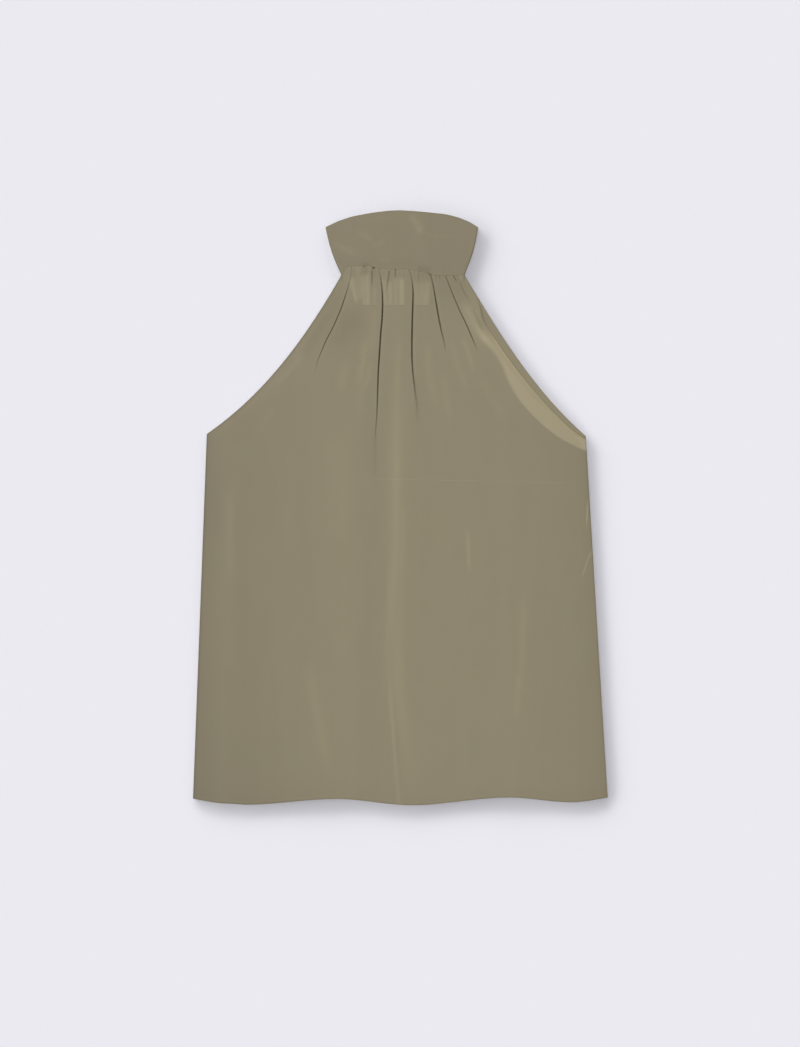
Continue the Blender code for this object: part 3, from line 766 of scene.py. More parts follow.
def gather_dip(gather, x, drop):
    """How deep a small gather goes at each point."""
    start = front_seam(gather.x)
    down = (drop - start) / (gather.end_drop - start)
    off = (x - gather.x - (gather.end_x - gather.x) * np.clip(down, 0.0, 1.0)) / gather.half_width
    begun = ease(-GATHER_START, 0.0, drop - start - gather.below)
    return gather.depth * begun * np.exp(-off * off) * (1.0 - ease(GATHER_FADES_FROM, 1.0, down))


def fold_rise(fold, x, drop):
    """How high a long soft fold stands at each point."""
    start, end = fold.path[0][1], fold.path[-1][1]
    down = (drop - start) / (end - start)
    off = (x - path_x(fold.path, FOLD_PATH_REACH)(drop)) / fold.half_width
    return fold.height * ease(0.0, FOLD_GROWN_AT, down) * (down < 1.0) * np.exp(-off * off)


def ripple(x, drop, seed):
    """Slight unevenness of cloth that lies flat, longer down the cloth than across it."""
    total = 0.0
    for wave in RIPPLES:
        over, along = (x, drop) if wave.runs == "across" else (drop, x)
        bend = wave.bend * np.sin(along / wave.bend_length + wave.bend_seed * seed)
        total = total + wave.height * np.sin(over / wave.length + bend + wave.seed * seed + wave.phase)
    return total


def collar_frame(up):
    """Centre and half width of the collar at a height: 0 at the seam, 1 at the top edge."""
    centre = SEAM_CENTRE + (TOP_CENTRE - SEAM_CENTRE) * up
    half = SEAM_HALF + (TOP_HALF - SEAM_HALF) * up + SIDE_BULGE * np.sin(np.pi * up)
    return centre, half


def collar_lower_edge(x):
    """Height of the top of the collar's front at the seam."""
    flat_half = SEAM_HALF - COLLAR_FOLD
    off = np.abs(x - SEAM_CENTRE)
    place = np.clip(off / flat_half, 0.0, 1.0)
    over = np.clip((off - flat_half) / COLLAR_FOLD, 0.0, 1.0)
    flat = 2 * COLLAR_FOLD + COLLAR_RISE_LOW * (1.0 - place * place) ** COLLAR_ARCH
    return np.where(off < flat_half, flat, COLLAR_FOLD + COLLAR_FOLD * np.sqrt(1.0 - over * over))


def edge_fall(room, reach):
    """How far down a rounded edge has gone, 1 at the edge and 0 from its reach on."""
    share = np.clip(room / reach, 0.0, 1.0)
    return 1.0 - np.sqrt(1.0 - (1.0 - share) ** 2)


def hem_room(x, drop):
    """Distance up from the hem's edge."""
    return np.maximum(0.0, eased_through(HEM_WAVES, x) - drop)


def front_surface(x, drop, left, right, row):
    """Height of the front's outer face."""
    room = np.maximum(0.0, np.minimum(x - left, right - x))
    below = np.maximum(0.0, drop - front_seam(x))
    puff = BODY_PUFF + NECK_PUFF * (1.0 - ease(*NECK_PUFF_RANGE, drop))
    for fold in FRONT_FOLDS:
        puff = puff + fold_rise(fold, x, drop)
    puff = puff + FRONT_RIPPLE * ripple(x, drop, FRONT_SEED) * ease(*FRONT_RIPPLE_RANGE, below)
    puff *= 1.0 - np.exp(-room / EDGE_REACH)
    height = BACK_REST + BACK_CREASE_LIFT * (1.0 - ease(*BACK_CREASE_RANGE, drop)) + FRONT_WALL + puff
    along = ease(*GAPE_RISE, drop) * (1.0 - ease(*GAPE_FALL, drop))
    inward = np.clip((right - x) / GAPE_WIDTH, 0.0, 1.0)
    height = height + GAPE_HEIGHT * along * (1.0 - inward) ** GAPE_CURVE
    height = height - HEM_DROOP * (1.0 - ease(0.0, HEM_DROOP_REACH, hem_room(x, drop)))
    sinking = ease(*SINK_RANGE[:2], row) * (1.0 - ease(*SINK_RANGE[2:], row))
    for side_room, sink in ((x - left, LEFT_SINK), (right - x, eased_through(RIGHT_SINKS, drop))):
        height = height - sink * sinking * (1.0 - ease(0.0, SINK_REACH, side_room)) ** SINK_CURVE
    at_seam = collar_lower_edge(x)
    height = at_seam + (height - at_seam) * ease(0.0, SEAM_RISE_REACH, below)
    for crease in FRONT_CREASES:
        height = height - crease_dip(crease, x, drop)
    for gather in FRONT_GATHERS:
        height = height - gather_dip(gather, x, drop)
    for pit in FRONT_PITS:
        off = ((x - pit.x) ** 2 + (drop - pit.drop) ** 2) / pit.radius ** 2
        height = height - pit.depth * np.exp(-off)
    right_share = RIGHT_ROLL_SHARE + (1.0 - RIGHT_ROLL_SHARE) * ease(*RIGHT_ROLL_RANGE, row)
    roll = edge_fall(x - left, EDGE_ROLL_REACH) + right_share * edge_fall(right - x, EDGE_ROLL_REACH)
    return height - EDGE_ROLL * roll


def back_underside(x, drop, left, right, row):
    """Height of the back's outer face, which lies on the floor between its creases."""
    lift = np.zeros_like(x)
    for crease in BACK_CREASES:
        lift = np.maximum(lift, crease_dip(crease, x, drop))
    waver = GATHER_WAVER * np.sin(x / GATHER_WAVER_LENGTH)
    gather = 0.5 + 0.5 * np.sin(2 * np.pi * x / BACK_GATHER_PITCH + waver)
    gather = gather * BACK_GATHER_DEPTH * np.exp(-np.maximum(0.0, drop - back_seam(x)) / BACK_GATHER_REACH)
    lift = np.maximum(lift, gather)
    uneven = BACK_RIPPLE_LEVEL + ripple(x, drop, BACK_SEED)
    lift = lift + BACK_RIPPLE * uneven * ease(*BACK_RIPPLE_RANGE, drop)
    room = np.minimum(x - left, right - x)
    lift = lift * (1.0 - np.exp(-np.maximum(0.0, room) / BACK_EDGE_REACH))
    curl = ease(*CURL_RISE, drop) * (1.0 - ease(*CURL_FALL, drop))
    lift = lift + BACK_CURL * curl * (1.0 - np.clip((right - x) / BACK_CURL_WIDTH, 0.0, 1.0)) ** 2
    return lift + BACK_EDGE_ROLL * edge_fall(room, EDGE_ROLL_REACH) * ease(*BACK_ROLL_RANGE, row)


def cloth_thickness(room, row, hem, turned_share, slit=0.0):
    """A panel's cloth, thicker where its armholes, hem and slit are turned."""
    armhole = (1.0 - ease(*SIDE_TURN, room)) * (1.0 - ease(*SIDE_TURN_END, row))
    turned = turned_share * np.maximum(armhole, slit)
    return CLOTH + TURNED_CLOTH * np.maximum(turned, 1.0 - ease(*HEM_TURN, hem))


def path_distance(path, x, drop):
    """Distance to a path of straight runs, and how far along it the nearest point is, 0 to 1."""
    points = np.array(path, float)
    runs = np.linalg.norm(np.diff(points, axis=0), axis=1)
    starts = np.concatenate([[0.0], np.cumsum(runs)])
    best, along = np.full(x.shape, np.inf), np.zeros(x.shape)
    for (ax, ad), (bx, bd), run, start in zip(points, points[1:], runs, starts):
        share = np.clip(((x - ax) * (bx - ax) + (drop - ad) * (bd - ad)) / run ** 2, 0.0, 1.0)
        distance = np.hypot(x - ax - share * (bx - ax), drop - ad - share * (bd - ad))
        nearer = distance < best
        best = np.where(nearer, distance, best)
        along = np.where(nearer, (start + share * run) / starts[-1], along)
    return best, along


def stroke_painted_light(stroke, x, drop):
    """Painted highlight of a soft stroke that fades at both ends, painted shade where its strength is below
    zero.
    """
    distance, along = path_distance(stroke.path, x, drop)
    ends = ease(0.0, STROKE_GROWN_AT, along) * (1.0 - ease(STROKE_FADES_FROM, 1.0, along))
    return stroke.strength * ends * np.exp(-(distance / stroke.half_width) ** 2)


def zone_painted_light(zone, x, drop):
    """Painted highlight of a wide soft zone, painted shade where its strength is below zero."""
    off = ((x - zone.x) / zone.half_width) ** 2 + ((drop - zone.drop) / zone.half_length) ** 2
    return zone.strength * np.exp(-off)


def painted_strokes_and_zones(strokes, zones, x, drop):
    """All strokes and zones of painted highlight and shade together."""
    total = np.zeros_like(x)
    for stroke in strokes:
        total = total + stroke_painted_light(stroke, x, drop)
    for zone in zones:
        total = total + zone_painted_light(zone, x, drop)
    return total


def band_highlight_and_place(x, drop):
    """Painted highlight of the band along the right armhole, and how far into it each point is in soft-edge
    widths.
    """
    distance, _ = path_distance(BAND_INNER, x, drop)
    inner_x, inner_drop = zip(*BAND_INNER)
    outside = (x > np.interp(drop, inner_drop, inner_x)) & (drop < np.interp(x, inner_x, inner_drop))
    into = np.where(outside, distance, -distance)
    soft = BAND_SOFT + (BAND_CRISP - BAND_SOFT) * ease(*BAND_CRISP_RANGE, drop)
    strength = BAND_HIGHLIGHT_STRENGTH * ease(*BAND_RISE, drop) * (x > BAND_LEAST_X)
    return strength, np.clip(into / soft, -BAND_PLACE_LIMIT, BAND_PLACE_LIMIT)


def neck_painted_highlight(x, drop):
    """Painted highlight of the streaks under the collar, without their crisp lower edge."""
    total = np.zeros_like(x)
    for streak in NECK_HIGHLIGHT_STREAKS:
        distance, _ = path_distance(streak.path, x, drop)
        begun = ease(*NECK_STREAK_RAMP, drop - streak.path[0][1])
        total = total + streak.strength * begun * np.exp(-(distance / streak.half_width) ** 3)
    return total


def front_painted_light(x, drop, left, right):
    """The front's painted shade and highlights, and its painted highlight streaks and band, whose crisp edges
    the material makes.
    """
    painted_light = painted_strokes_and_zones(FRONT_SHEEN_AND_SHADE_STROKES, FRONT_SHEEN_AND_SHADE_ZONES, x, drop)
    # painted shading across the body, darker towards both sides
    painted_light = painted_light + body_painted_shading(x) * ease(*BODY_PAINTED_SHADING_RANGE, drop)
    # painted shade along the left edge, painted light along the right rim and the seam
    painted_light = painted_light + LEFT_EDGE_PAINTED_SHADE * ease(LEFT_EDGE_SHADE_WIDTH, 0.0, x - left)
    rim = ease(RIM_WIDTH, 0.0, right - x)
    painted_light = painted_light + RIGHT_RIM_PAINTED_LIGHT * rim
    painted_light = painted_light + SEAM_PAINTED_LIGHT * ease(SEAM_PAINTED_LIGHT_WIDTH, 0.0, drop - front_seam(x))
    for crease in FRONT_CREASES:
        painted_light = painted_light + crease_painted_light(crease, x, drop)
    band_highlight, band_place = band_highlight_and_place(x, drop)
    band_highlight = band_highlight * (1.0 + BAND_EDGE_GAIN * ease(BAND_EDGE_WIDTH, 0.0, right - x) + BAND_RIM_GAIN * rim)
    return {"painted_light": painted_light, "neck_highlight": neck_painted_highlight(x, drop), "band_highlight": band_highlight, "band_place": band_place}


def grid_quads(rows, columns):
    """Corner numbers of a grid's faces."""
    first = (np.arange(rows - 1)[:, None] * columns + np.arange(columns - 1)[None, :]).ravel()
    return np.stack([first, first + columns, first + columns + 1, first + 1], axis=1)


def rim_sign(points, rim):
    """1 or -1, so that the sum of a rim's normals points away from the sheet's middle."""
    middle = points[:, :2].mean(axis=0)
    total = 0.0
    for a, b in rim[:: max(1, len(rim) // RIM_SAMPLES)]:
        run = points[b] - points[a]
        total += np.dot([run[1], -run[0]], points[a][:2] - middle)
    return 1.0 if total > 0.0 else -1.0


def closed_shell(outer, inner, quads, bulge):
    """Two like sheets joined round every free edge by a rounded rim.

    Gives points, faces and the number of the outer point that each point belongs to.
    """
    count = len(outer)
    edges = np.concatenate([quads[:, [n, (n + 1) % 4]] for n in range(4)])
    keys = {(int(a), int(b)) for a, b in edges}
    rim = [(a, b) for a, b in sorted(keys) if (b, a) not in keys]
    outward = {}
    for a, b in rim:
        run = outer[b] - outer[a]
        normal = np.array([run[1], -run[0], 0.0])
        normal = normal / max(np.linalg.norm(normal), TINY)
        for corner in (a, b):
            outward[corner] = outward.get(corner, 0.0) + normal
    corners = sorted(outward)
    middle = {corner: 2 * count + n for n, corner in enumerate(corners)}
    sign = rim_sign(outer, rim)
    rounded = []
    for corner in corners:
        direction = sign * outward[corner] / max(np.linalg.norm(outward[corner]), TINY)
        thick = np.linalg.norm(outer[corner] - inner[corner])
        rounded.append(0.5 * (outer[corner] + inner[corner]) + bulge * thick * direction)
    faces = [tuple(int(c) for c in quad) for quad in quads]
    faces += [tuple(int(c) + count for c in quad[::-1]) for quad in quads]
    for a, b in rim:
        faces.append((b, a, middle[a], middle[b]))
        faces.append((middle[b], middle[a], a + count, b + count))
    owners = np.concatenate([np.arange(count), np.arange(count), np.array(corners)])
    return np.concatenate([outer, inner, np.array(rounded)]), faces, owners


def add_mesh(name, points, faces, material, attributes=None, flat_from=None):
    """A piece from points given as x, drop and z, smooth up to the first flat face.

    Each named list of values becomes a float attribute of the points.
    """
    mesh = bpy.data.meshes.new(name)
    points = np.array(points)
    placed = np.stack([points[:, 0], 0.5 * LENGTH - points[:, 1], points[:, 2]], axis=1) * MM
    mesh.from_pydata(placed.tolist(), [], faces)
    body = bmesh.new()
    body.from_mesh(mesh)
    bmesh.ops.recalc_face_normals(body, faces=body.faces)
    body.faces.ensure_lookup_table()
    for number, face in enumerate(body.faces):
        face.smooth = flat_from is None or number < flat_from
    body.to_mesh(mesh)
    body.free()
    for attribute, values in (attributes or {}).items():
        layer = mesh.attributes.new(attribute, "FLOAT", "POINT")
        layer.data.foreach_set("value", np.asarray(values, np.float32))
    mesh.materials.append(material)
    piece = bpy.data.objects.new(name, mesh)
    bpy.context.scene.collection.objects.link(piece)
    return piece


def panel_piece(name, x, drop, top, bottom, quads, values, material):
    """A panel's shell between its top and bottom face, with its values as attributes."""
    faces_at = [np.stack([x.ravel(), drop.ravel(), z.ravel()], axis=1) for z in (top, bottom)]
    points, faces, owners = closed_shell(*faces_at, quads, RIM_BULGE)
    attributes = {label: value.ravel()[owners] for label, value in values.items()}
    return add_mesh(name, points, faces, material, attributes)


def front_piece(material):
    """The front's shell, with two rows tucked under the collar."""
    grid = panel_grid(FRONT_SIDES, front_seam, FRONT_CREASES, FRONT_ROWS, FRONT_COLUMNS, False)
    x, drop, left, right = grid
    row = np.array(FRONT_ROWS)[:, None]
    top = front_surface(x, drop, left, right, row)
    room = np.minimum(x - left, right - x)
    bottom = top - cloth_thickness(room, row, hem_room(x, drop), FRONT_TURNED_SHARE)
    for tuck, fall in SEAM_TUCKS:
        x, left, right = (np.vstack([rows[:1], rows]) for rows in (x, left, right))
        drop = np.vstack([front_seam(x[:1]) + SEAM_GAP - tuck, drop])
        top = np.vstack([np.minimum(collar_lower_edge(x[:1]) - fall, top[:1]), top])
        bottom = np.vstack([top[:1] - CLOTH, bottom])
    values = front_painted_light(x, drop, left, right)
    return panel_piece("front_cloth", x, drop, top, bottom, grid_quads(*x.shape), values, material)


def back_piece(material):
    """The back's shell, with its slit."""
    x, drop, left, right = panel_grid(BACK_SIDES, back_seam, BACK_CREASES, BACK_ROWS, BACK_COLUMNS, True)
    row = np.array(BACK_ROWS)[:, None]
    bottom = back_underside(x, drop, left, right, row)
    slit = (1.0 - ease(*SLIT_TURN, np.abs(x - SEAM_CENTRE))) * (1.0 - ease(SLIT_END, SLIT_TURN_END, drop))
    room = np.minimum(x - left, right - x)
    top = bottom + cloth_thickness(room, row, hem_room(x, drop) - BACK_HEM_UP, BACK_TURNED_SHARE, slit)
    quads = grid_quads(*x.shape)
    inside = np.abs(x.ravel()[quads] - SEAM_CENTRE).max(axis=1) <= SLIT_HALF_WIDTH + SLIT_TOLERANCE
    quads = quads[~(inside & (drop.ravel()[quads].max(axis=1) <= SLIT_END))]
    # painted light on the back's inner face beyond the front's right edge, painted shade on its rim
    strip_light_and_shade = STRIP_PAINTED_LIGHT * ease(STRIP_WIDTH, 0.0, right - x) + STRIP_RIM_PAINTED_SHADE * ease(RIM_WIDTH, 0.0, right - x)
    painted_light = strip_light_and_shade * ease(*GAPE_RISE, drop) * (row < 1.0)
    return panel_piece("back_cloth", x, drop, top, bottom, quads, {"painted_light": painted_light}, material)


def button_lift(x, up):
    """How far the collar's back rises over the buttons."""
    off = (x - collar_frame(up)[0]) / BUTTON_LIFT_REACH
    return BUTTON_LIFT * np.exp(-off ** 4) * ease(0.0, COLLAR_RISE_END, up)


def collar_drop(seam, across, up):
    """Drop of a point of the collar, across from -1 at its left side to 1 at its right."""
    low = seam(SEAM_CENTRE + SEAM_HALF * across)
    high = top_edge(across * TOP_HALF)
    return low + (high - low) * up


def collar_stations():
    """Places round the collar's ring, from the end that laps outside to the end that lies inside."""
    inward = [*np.linspace(LAP_HALF, -LAP_EVEN, LAP_COLUMNS), *(-LAP_EVEN - np.arange(1, LAP_STEPS))]
    return [
        *[("outer_end", place) for place in inward],
        *[("left_fold", place) for place in np.linspace(-90.0, -270.0, FOLD_COLUMNS)],
        *[("front", place) for place in np.linspace(-1.0, 1.0, COLLAR_FRONT_COLUMNS)[1:-1]],
        *[("right_fold", place) for place in np.linspace(90.0, -90.0, FOLD_COLUMNS)],
        *[("inner_end", -place) for place in inward[::-1]],
    ]


def collar_point(part, place, up):
    """Outer face of the collar as x, drop and z, and the direction out of it as x, drop and z."""
    centre, half = collar_frame(up)
    flat_half = half - COLLAR_FOLD
    out = (0.0, -1.0)
    if part == "front":
        x = centre + place * flat_half
        rise = COLLAR_RISE_LOW + (COLLAR_RISE_HIGH - COLLAR_RISE_LOW) * ease(0.0, COLLAR_RISE_END, up)
        z = 2 * COLLAR_FOLD + rise * (1.0 - place * place) ** COLLAR_ARCH
        out = (0.0, 1.0)
    elif part in ("left_fold", "right_fold"):
        out = (np.cos(np.radians(place)), np.sin(np.radians(place)))
        side = -1.0 if part == "left_fold" else 1.0
        across = abs(out[0]) if out[1] > 0.0 else abs(out[0]) ** FOLD_FLATNESS
        x = centre + side * (flat_half + COLLAR_FOLD * across)
        z = COLLAR_FOLD + COLLAR_FOLD * out[1]
    else:
        beyond = max(0.0, abs(place) - LAP_EVEN) / LAP_STEPS
        x = centre + np.sign(place) * (min(abs(place), LAP_EVEN) + (flat_half - LAP_EVEN) * beyond)
        z = button_lift(x, up)
        if part == "inner_end":
            z += (COLLAR_WALL + LAP_GAP) * (1.0 - ease(*LAP_RAMP, x - centre))
    seam = front_seam if part == "front" else back_seam
    drop = float(collar_drop(seam, (x - centre) / half, up))
    return np.array([x, drop, z]), np.array([out[0], 0.0, out[1]])


def collar_piece(material):
    """The collar's shell, its outer end lapped over its inner end at the centre back."""
    outer, inner, painted_light = [], [], []
    stations = collar_stations()
    for part, place in stations:
        for up in COLLAR_ROWS:
            point, out = collar_point(part, place, up)
            sheen_and_shade = 0.0
            if part == "front":
                uneven = ripple(*(point[:2] * COLLAR_RIPPLE_SCALE), COLLAR_SEED)
                point[2] += COLLAR_RIPPLE * uneven * ease(*COLLAR_RIPPLE_RANGE, up)
                # painted sheen and shade of the collar's front
                sheen_and_shade = float(painted_strokes_and_zones(COLLAR_SHEEN_AND_SHADE_STROKES, COLLAR_SHEEN_AND_SHADE_ZONES, point[:1], point[1:2])[0])
            painted_light.append(sheen_and_shade)
            thick = COLLAR_SEAM_CLOTH + (COLLAR_CLOTH - COLLAR_SEAM_CLOTH) * ease(0.0, COLLAR_SEAM_REACH, up)
            outer.append(point)
            inner.append(point - thick * out)
    quads = grid_quads(len(stations), len(COLLAR_ROWS))
    points, faces, owners = closed_shell(np.array(outer), np.array(inner), quads, 0.0)
    return add_mesh("collar_cloth", points, faces, material, {"painted_light": np.array(painted_light)[owners]}, 2 * len(quads))


def button_place(up):
    """x and drop of a button's middle."""
    return collar_frame(up)[0], float(collar_drop(back_seam, 0.0, up))


def button_piece(name, up, material):
    """Covered button, a dome whose cloth is drawn over its rim, turned about its middle."""
    centre, drop = button_place(up)
    rises = np.radians(np.linspace(*BUTTON_DOME_TURNS))
    profile = [*zip(np.sin(rises), BUTTON_DOME * (1.0 - np.cos(rises))), *BUTTON_BACK]
    turns = 2 * np.pi * np.arange(BUTTON_SIDES) / BUTTON_SIDES
    points = [(centre, drop, 0.0)]
    for share, z in profile:
        radius = BUTTON_RADIUS * share
        points += [(centre + radius * np.cos(turn), drop + radius * np.sin(turn), z) for turn in turns]
    points.append((centre, drop, BUTTON_BACK[-1][1]))
    last = len(points) - 1
    faces = []
    for n in range(BUTTON_SIDES):
        following = (n + 1) % BUTTON_SIDES
        faces.append((0, 1 + n, 1 + following))
        faces.append((last, last - BUTTON_SIDES + following, last - BUTTON_SIDES + n))
        for ring in range(len(profile) - 1):
            a, b = 1 + ring * BUTTON_SIDES, 1 + (ring + 1) * BUTTON_SIDES
            faces.append((a + n, b + n, b + following, a + following))
    return add_mesh(name + "_cloth", points, faces, material)


def add_stitch(points, faces, middle, along, outward, length):
    """One stitch, a short rounded bar along a direction on the cloth, added to lists of points and faces."""
    along = along / np.linalg.norm(along)
    up = np.array([0.0, 0.0, outward])
    across = np.cross(along, up)
    start = len(points)
    for place, size in STITCH_SECTIONS:
        sink = -0.5 * STITCH_HEIGHT * (2 * abs(place)) ** 3
        for n in range(STITCH_SIDES):
            turn = 2 * np.pi * n / STITCH_SIDES
            rise = 0.5 * STITCH_HEIGHT * size * np.sin(turn) + sink
            offset = across * (0.5 * STITCH_WIDTH * size * np.cos(turn)) + up * rise
            points.append(middle + along * (place * length) + offset)
    last = start + (len(STITCH_SECTIONS) - 1) * STITCH_SIDES
    for a in range(start, last, STITCH_SIDES):
        b = a + STITCH_SIDES
        for n in range(STITCH_SIDES):
            following = (n + 1) % STITCH_SIDES
            faces.append((a + n, b + n, b + following, a + following))
    faces.append(tuple(start + n for n in range(STITCH_SIDES)))
    faces.append(tuple(last + n for n in reversed(range(STITCH_SIDES))))


def stitch_line(places):
    """Middles and directions of stitches at an even pitch along a line of x, drop and z."""
    runs = np.linalg.norm(np.diff(places, axis=0), axis=1)
    along = np.concatenate([[0.0], np.cumsum(runs)])
    stops = np.arange(0.5 * STITCH_PITCH, along[-1] - 0.5 * STITCH_LENGTH, STITCH_PITCH)

    def at(stop):
        return np.array([np.interp(stop, along, places[:, axis]) for axis in range(3)])

    return [(at(stop), at(stop + 0.5) - at(stop - 0.5)) for stop in stops]


def stitches_piece(name, lines, outward, material):
    """Stitches along lines of x, drop and z, with the cloth's outer side given by outward."""
    points, faces = [], []
    for line in lines:
        for middle, along in stitch_line(line):
            add_stitch(points, faces, middle, along, outward, STITCH_LENGTH)
    return add_mesh(name, points, faces, material)


def hem_line(sides, surface, half, hem_up, lift):
    """A hem's stitch line on a panel's outer face."""
    x = np.linspace(-half, half, HEM_LINE_POINTS)
    drop = eased_through(HEM_WAVES, x) - hem_up - STITCH_ROOM
    z = surface(x, drop, *both_sides(sides, drop), np.full_like(x, HEM_LINE_ROW))
    return np.stack([x, drop, z + lift], axis=1)


def slit_lines():
    """Stitch lines down both edges of the slit and across below it."""
    end = SLIT_END + SLIT_STITCH_BELOW
    drop = np.linspace(SLIT_STITCH_START, end, SLIT_LINE_POINTS)
    lines = []
    for side in (-1.0, 1.0):
        x = np.full_like(drop, SEAM_CENTRE + side * SLIT_STITCH_OFF)
        far = np.full_like(x, FAR_SIDE)
        z = back_underside(x, drop, -far, far, np.full_like(x, 0.5))
        lines.append(np.stack([x, drop, z + BACK_STITCH_LIFT], axis=1))
    ends = [[SEAM_CENTRE + side * SLIT_STITCH_OFF, end, SLIT_END_HEIGHT] for side in (-1.0, 1.0)]
    return [*lines, np.array(ends)]


def buttonhole_piece(name, up, material):
    """Oval of close stitches round a buttonhole, on the collar's outer face behind its button."""
    centre, drop = button_place(up)
    z = float(button_lift(centre, up)) - BUTTONHOLE_SINK
    points, faces = [], []
    for n in range(BUTTONHOLE_STITCHES):
        turn = 2 * np.pi * n / BUTTONHOLE_STITCHES
        across, down = np.cos(turn), np.sin(turn)
        middle = np.array([centre + BUTTONHOLE_HALF[0] * across, drop + BUTTONHOLE_HALF[1] * down, z])
        out = np.array([BUTTONHOLE_LEAN * across, down, 0.0])
        add_stitch(points, faces, middle, out, -1.0, BUTTONHOLE_STITCH)
    return add_mesh(name, points, faces, material)


class Nodes:
    """Short ways to add shader nodes to a new material."""

    def __init__(self, name):
        self.material = bpy.data.materials.new(name)
        self.material.use_nodes = True
        self.tree = self.material.node_tree
        self.shader = self.tree.nodes["Principled BSDF"]

    def link(self, value, socket):
        """Link an output, or set a constant."""
        if isinstance(value, bpy.types.NodeSocket):
            self.tree.links.new(value, socket)
        else:
            socket.default_value = value

    def shade(self, inputs):
        """Set or link the shader's named inputs."""
        for name, value in inputs.items():
            self.link(value, self.shader.inputs[name])

    def add(self, kind, inputs=None, **settings):
        """A node with its named inputs and its settings."""
        node = self.tree.nodes.new(kind)
        for name, value in settings.items():
            setattr(node, name, value)
        for name, value in (inputs or {}).items():
            self.link(value, node.inputs[name])
        return node

    def math(self, operation, *values):
        """A math node's result."""
        node = self.add("ShaderNodeMath", operation=operation)
        for value, socket in zip(values, node.inputs):
            self.link(value, socket)
        return node.outputs[0]

    def times(self, first, *others):
        """A product."""
        for other in others:
            first = self.math("MULTIPLY", first, other)
        return first

    def plus(self, first, *others):
        """A sum."""
        for other in others:
            first = self.math("ADD", first, other)
        return first

    def near_zero(self, width, value):
        """1 where a value is zero, falling to 0 a width away."""
        return self.smooth_step(width, 0.0, self.math("ABSOLUTE", value))

    def smooth_step(self, start, end, value):
        """0 up to start and 1 from end on."""
        inputs = {"Value": value, "From Min": start, "From Max": end}
        return self.add("ShaderNodeMapRange", inputs, interpolation_type="SMOOTHSTEP").outputs["Result"]

    def attribute(self, name):
        """A float attribute of the mesh."""
        return self.add("ShaderNodeAttribute", attribute_name=name).outputs["Fac"]

    def coordinates(self):
        """Object coordinates in metres."""
        return self.add("ShaderNodeTexCoord").outputs["Object"]

    def noise(self, noise, middle=0.0):
        """Noise about a middle value."""
        mapping = {"Scale": noise.scale, "Vector": self.coordinates()}
        vector = self.add("ShaderNodeMapping", mapping).outputs[0]
        inputs = {"Vector": vector, "Scale": 1.0, "Detail": noise.detail}
        centred = self.math("SUBTRACT", self.add("ShaderNodeTexNoise", inputs).outputs["Fac"], 0.5)
        return self.math("MULTIPLY_ADD", centred, noise.strength, middle)

    def scaled(self, colour, level):
        """A colour times a level."""
        node = self.add("ShaderNodeVectorMath", {"Scale": level}, operation="SCALE")
        self.link(colour, node.inputs[0])
        return node.outputs[0]


def weave_height(nodes):
    """Fine crepe-like weave, two sets of ribs broken up by noise."""
    heights = []
    for turn, scale in WEAVE_RIBS:
        mapping = {"Rotation": (0.0, 0.0, turn), "Vector": nodes.coordinates()}
        inputs = {"Vector": nodes.add("ShaderNodeMapping", mapping).outputs[0], "Scale": scale, **WEAVE}
        wave = nodes.add("ShaderNodeTexWave", inputs, wave_type="BANDS", bands_direction="X")
        heights.append(wave.outputs["Fac"])
    return nodes.plus(*heights)


def painted_line_highlights(nodes, lines, x, y):
    """Painted highlight of thin straight lines that fade at both ends."""
    total = 0.0
    for line in lines:
        (ax, ay), (bx, by) = ((px * MM, (0.5 * LENGTH - drop) * MM) for px, drop in (line.start, line.end))
        length = np.hypot(bx - ax, by - ay)
        ux, uy = (bx - ax) / length, (by - ay) / length
        along = nodes.math("MULTIPLY_ADD", x, ux, nodes.math("MULTIPLY_ADD", y, uy, -(ax * ux + ay * uy)))
        across = nodes.math("MULTIPLY_ADD", x, -uy, nodes.math("MULTIPLY_ADD", y, ux, ax * uy - ay * ux))
        near = nodes.near_zero(line.half_width * MM, across)
        begun = nodes.smooth_step(0.0, line.fade * MM, along)
        ended = nodes.smooth_step(length, length - line.fade * MM, along)
        total = nodes.plus(total, nodes.times(near, line.strength, begun, ended))
    return total


def front_details(nodes, x, y):
    """Painted highlights and shade of the front's crisp details, and the painted highlight of the pressed
    folds alone.
    """
    edge_y = (0.5 * LENGTH - PATCH_DROP) * MM
    slant = nodes.smooth_step(PATCH_SLANT[0] * MM, PATCH_SLANT[1] * MM, x)
    over_edge = nodes.math("MULTIPLY_ADD", slant, -PATCH_SLANT_RISE * MM, nodes.math("SUBTRACT", y, edge_y))
    above = nodes.smooth_step(-0.5 * PATCH_EDGE * MM, 0.5 * PATCH_EDGE * MM, over_edge)
    # painted highlight streaks under the collar, cut at a crisp edge
    streaks = nodes.attribute("neck_highlight")
    neck_highlight = nodes.times(streaks, nodes.noise(PATCH_NOISE, 1.0), above)
    # painted shadow just under the streaks' crisp edge
    below = nodes.math("SUBTRACT", y, edge_y - PATCH_SHADE_BELOW * MM)
    under = nodes.times(streaks, nodes.near_zero(PATCH_SHADE_WIDTH * MM, below), PATCH_SHADE)
    # painted highlight of the right armhole's band, cut at its inner line
    band_highlight = nodes.times(nodes.attribute("band_highlight"), nodes.smooth_step(-1.0, 1.0, nodes.attribute("band_place")))
    # painted highlights along the pressed folds, broken by noise
    broken = nodes.math("MAXIMUM", nodes.noise(PRESS_NOISE, 1.0), PRESS_LEAST)
    press = nodes.times(painted_line_highlights(nodes, PRESS_HIGHLIGHTS, x, y), broken)
    return nodes.plus(neck_highlight, under, band_highlight, press, painted_line_highlights(nodes, GLINTS, x, y)), press


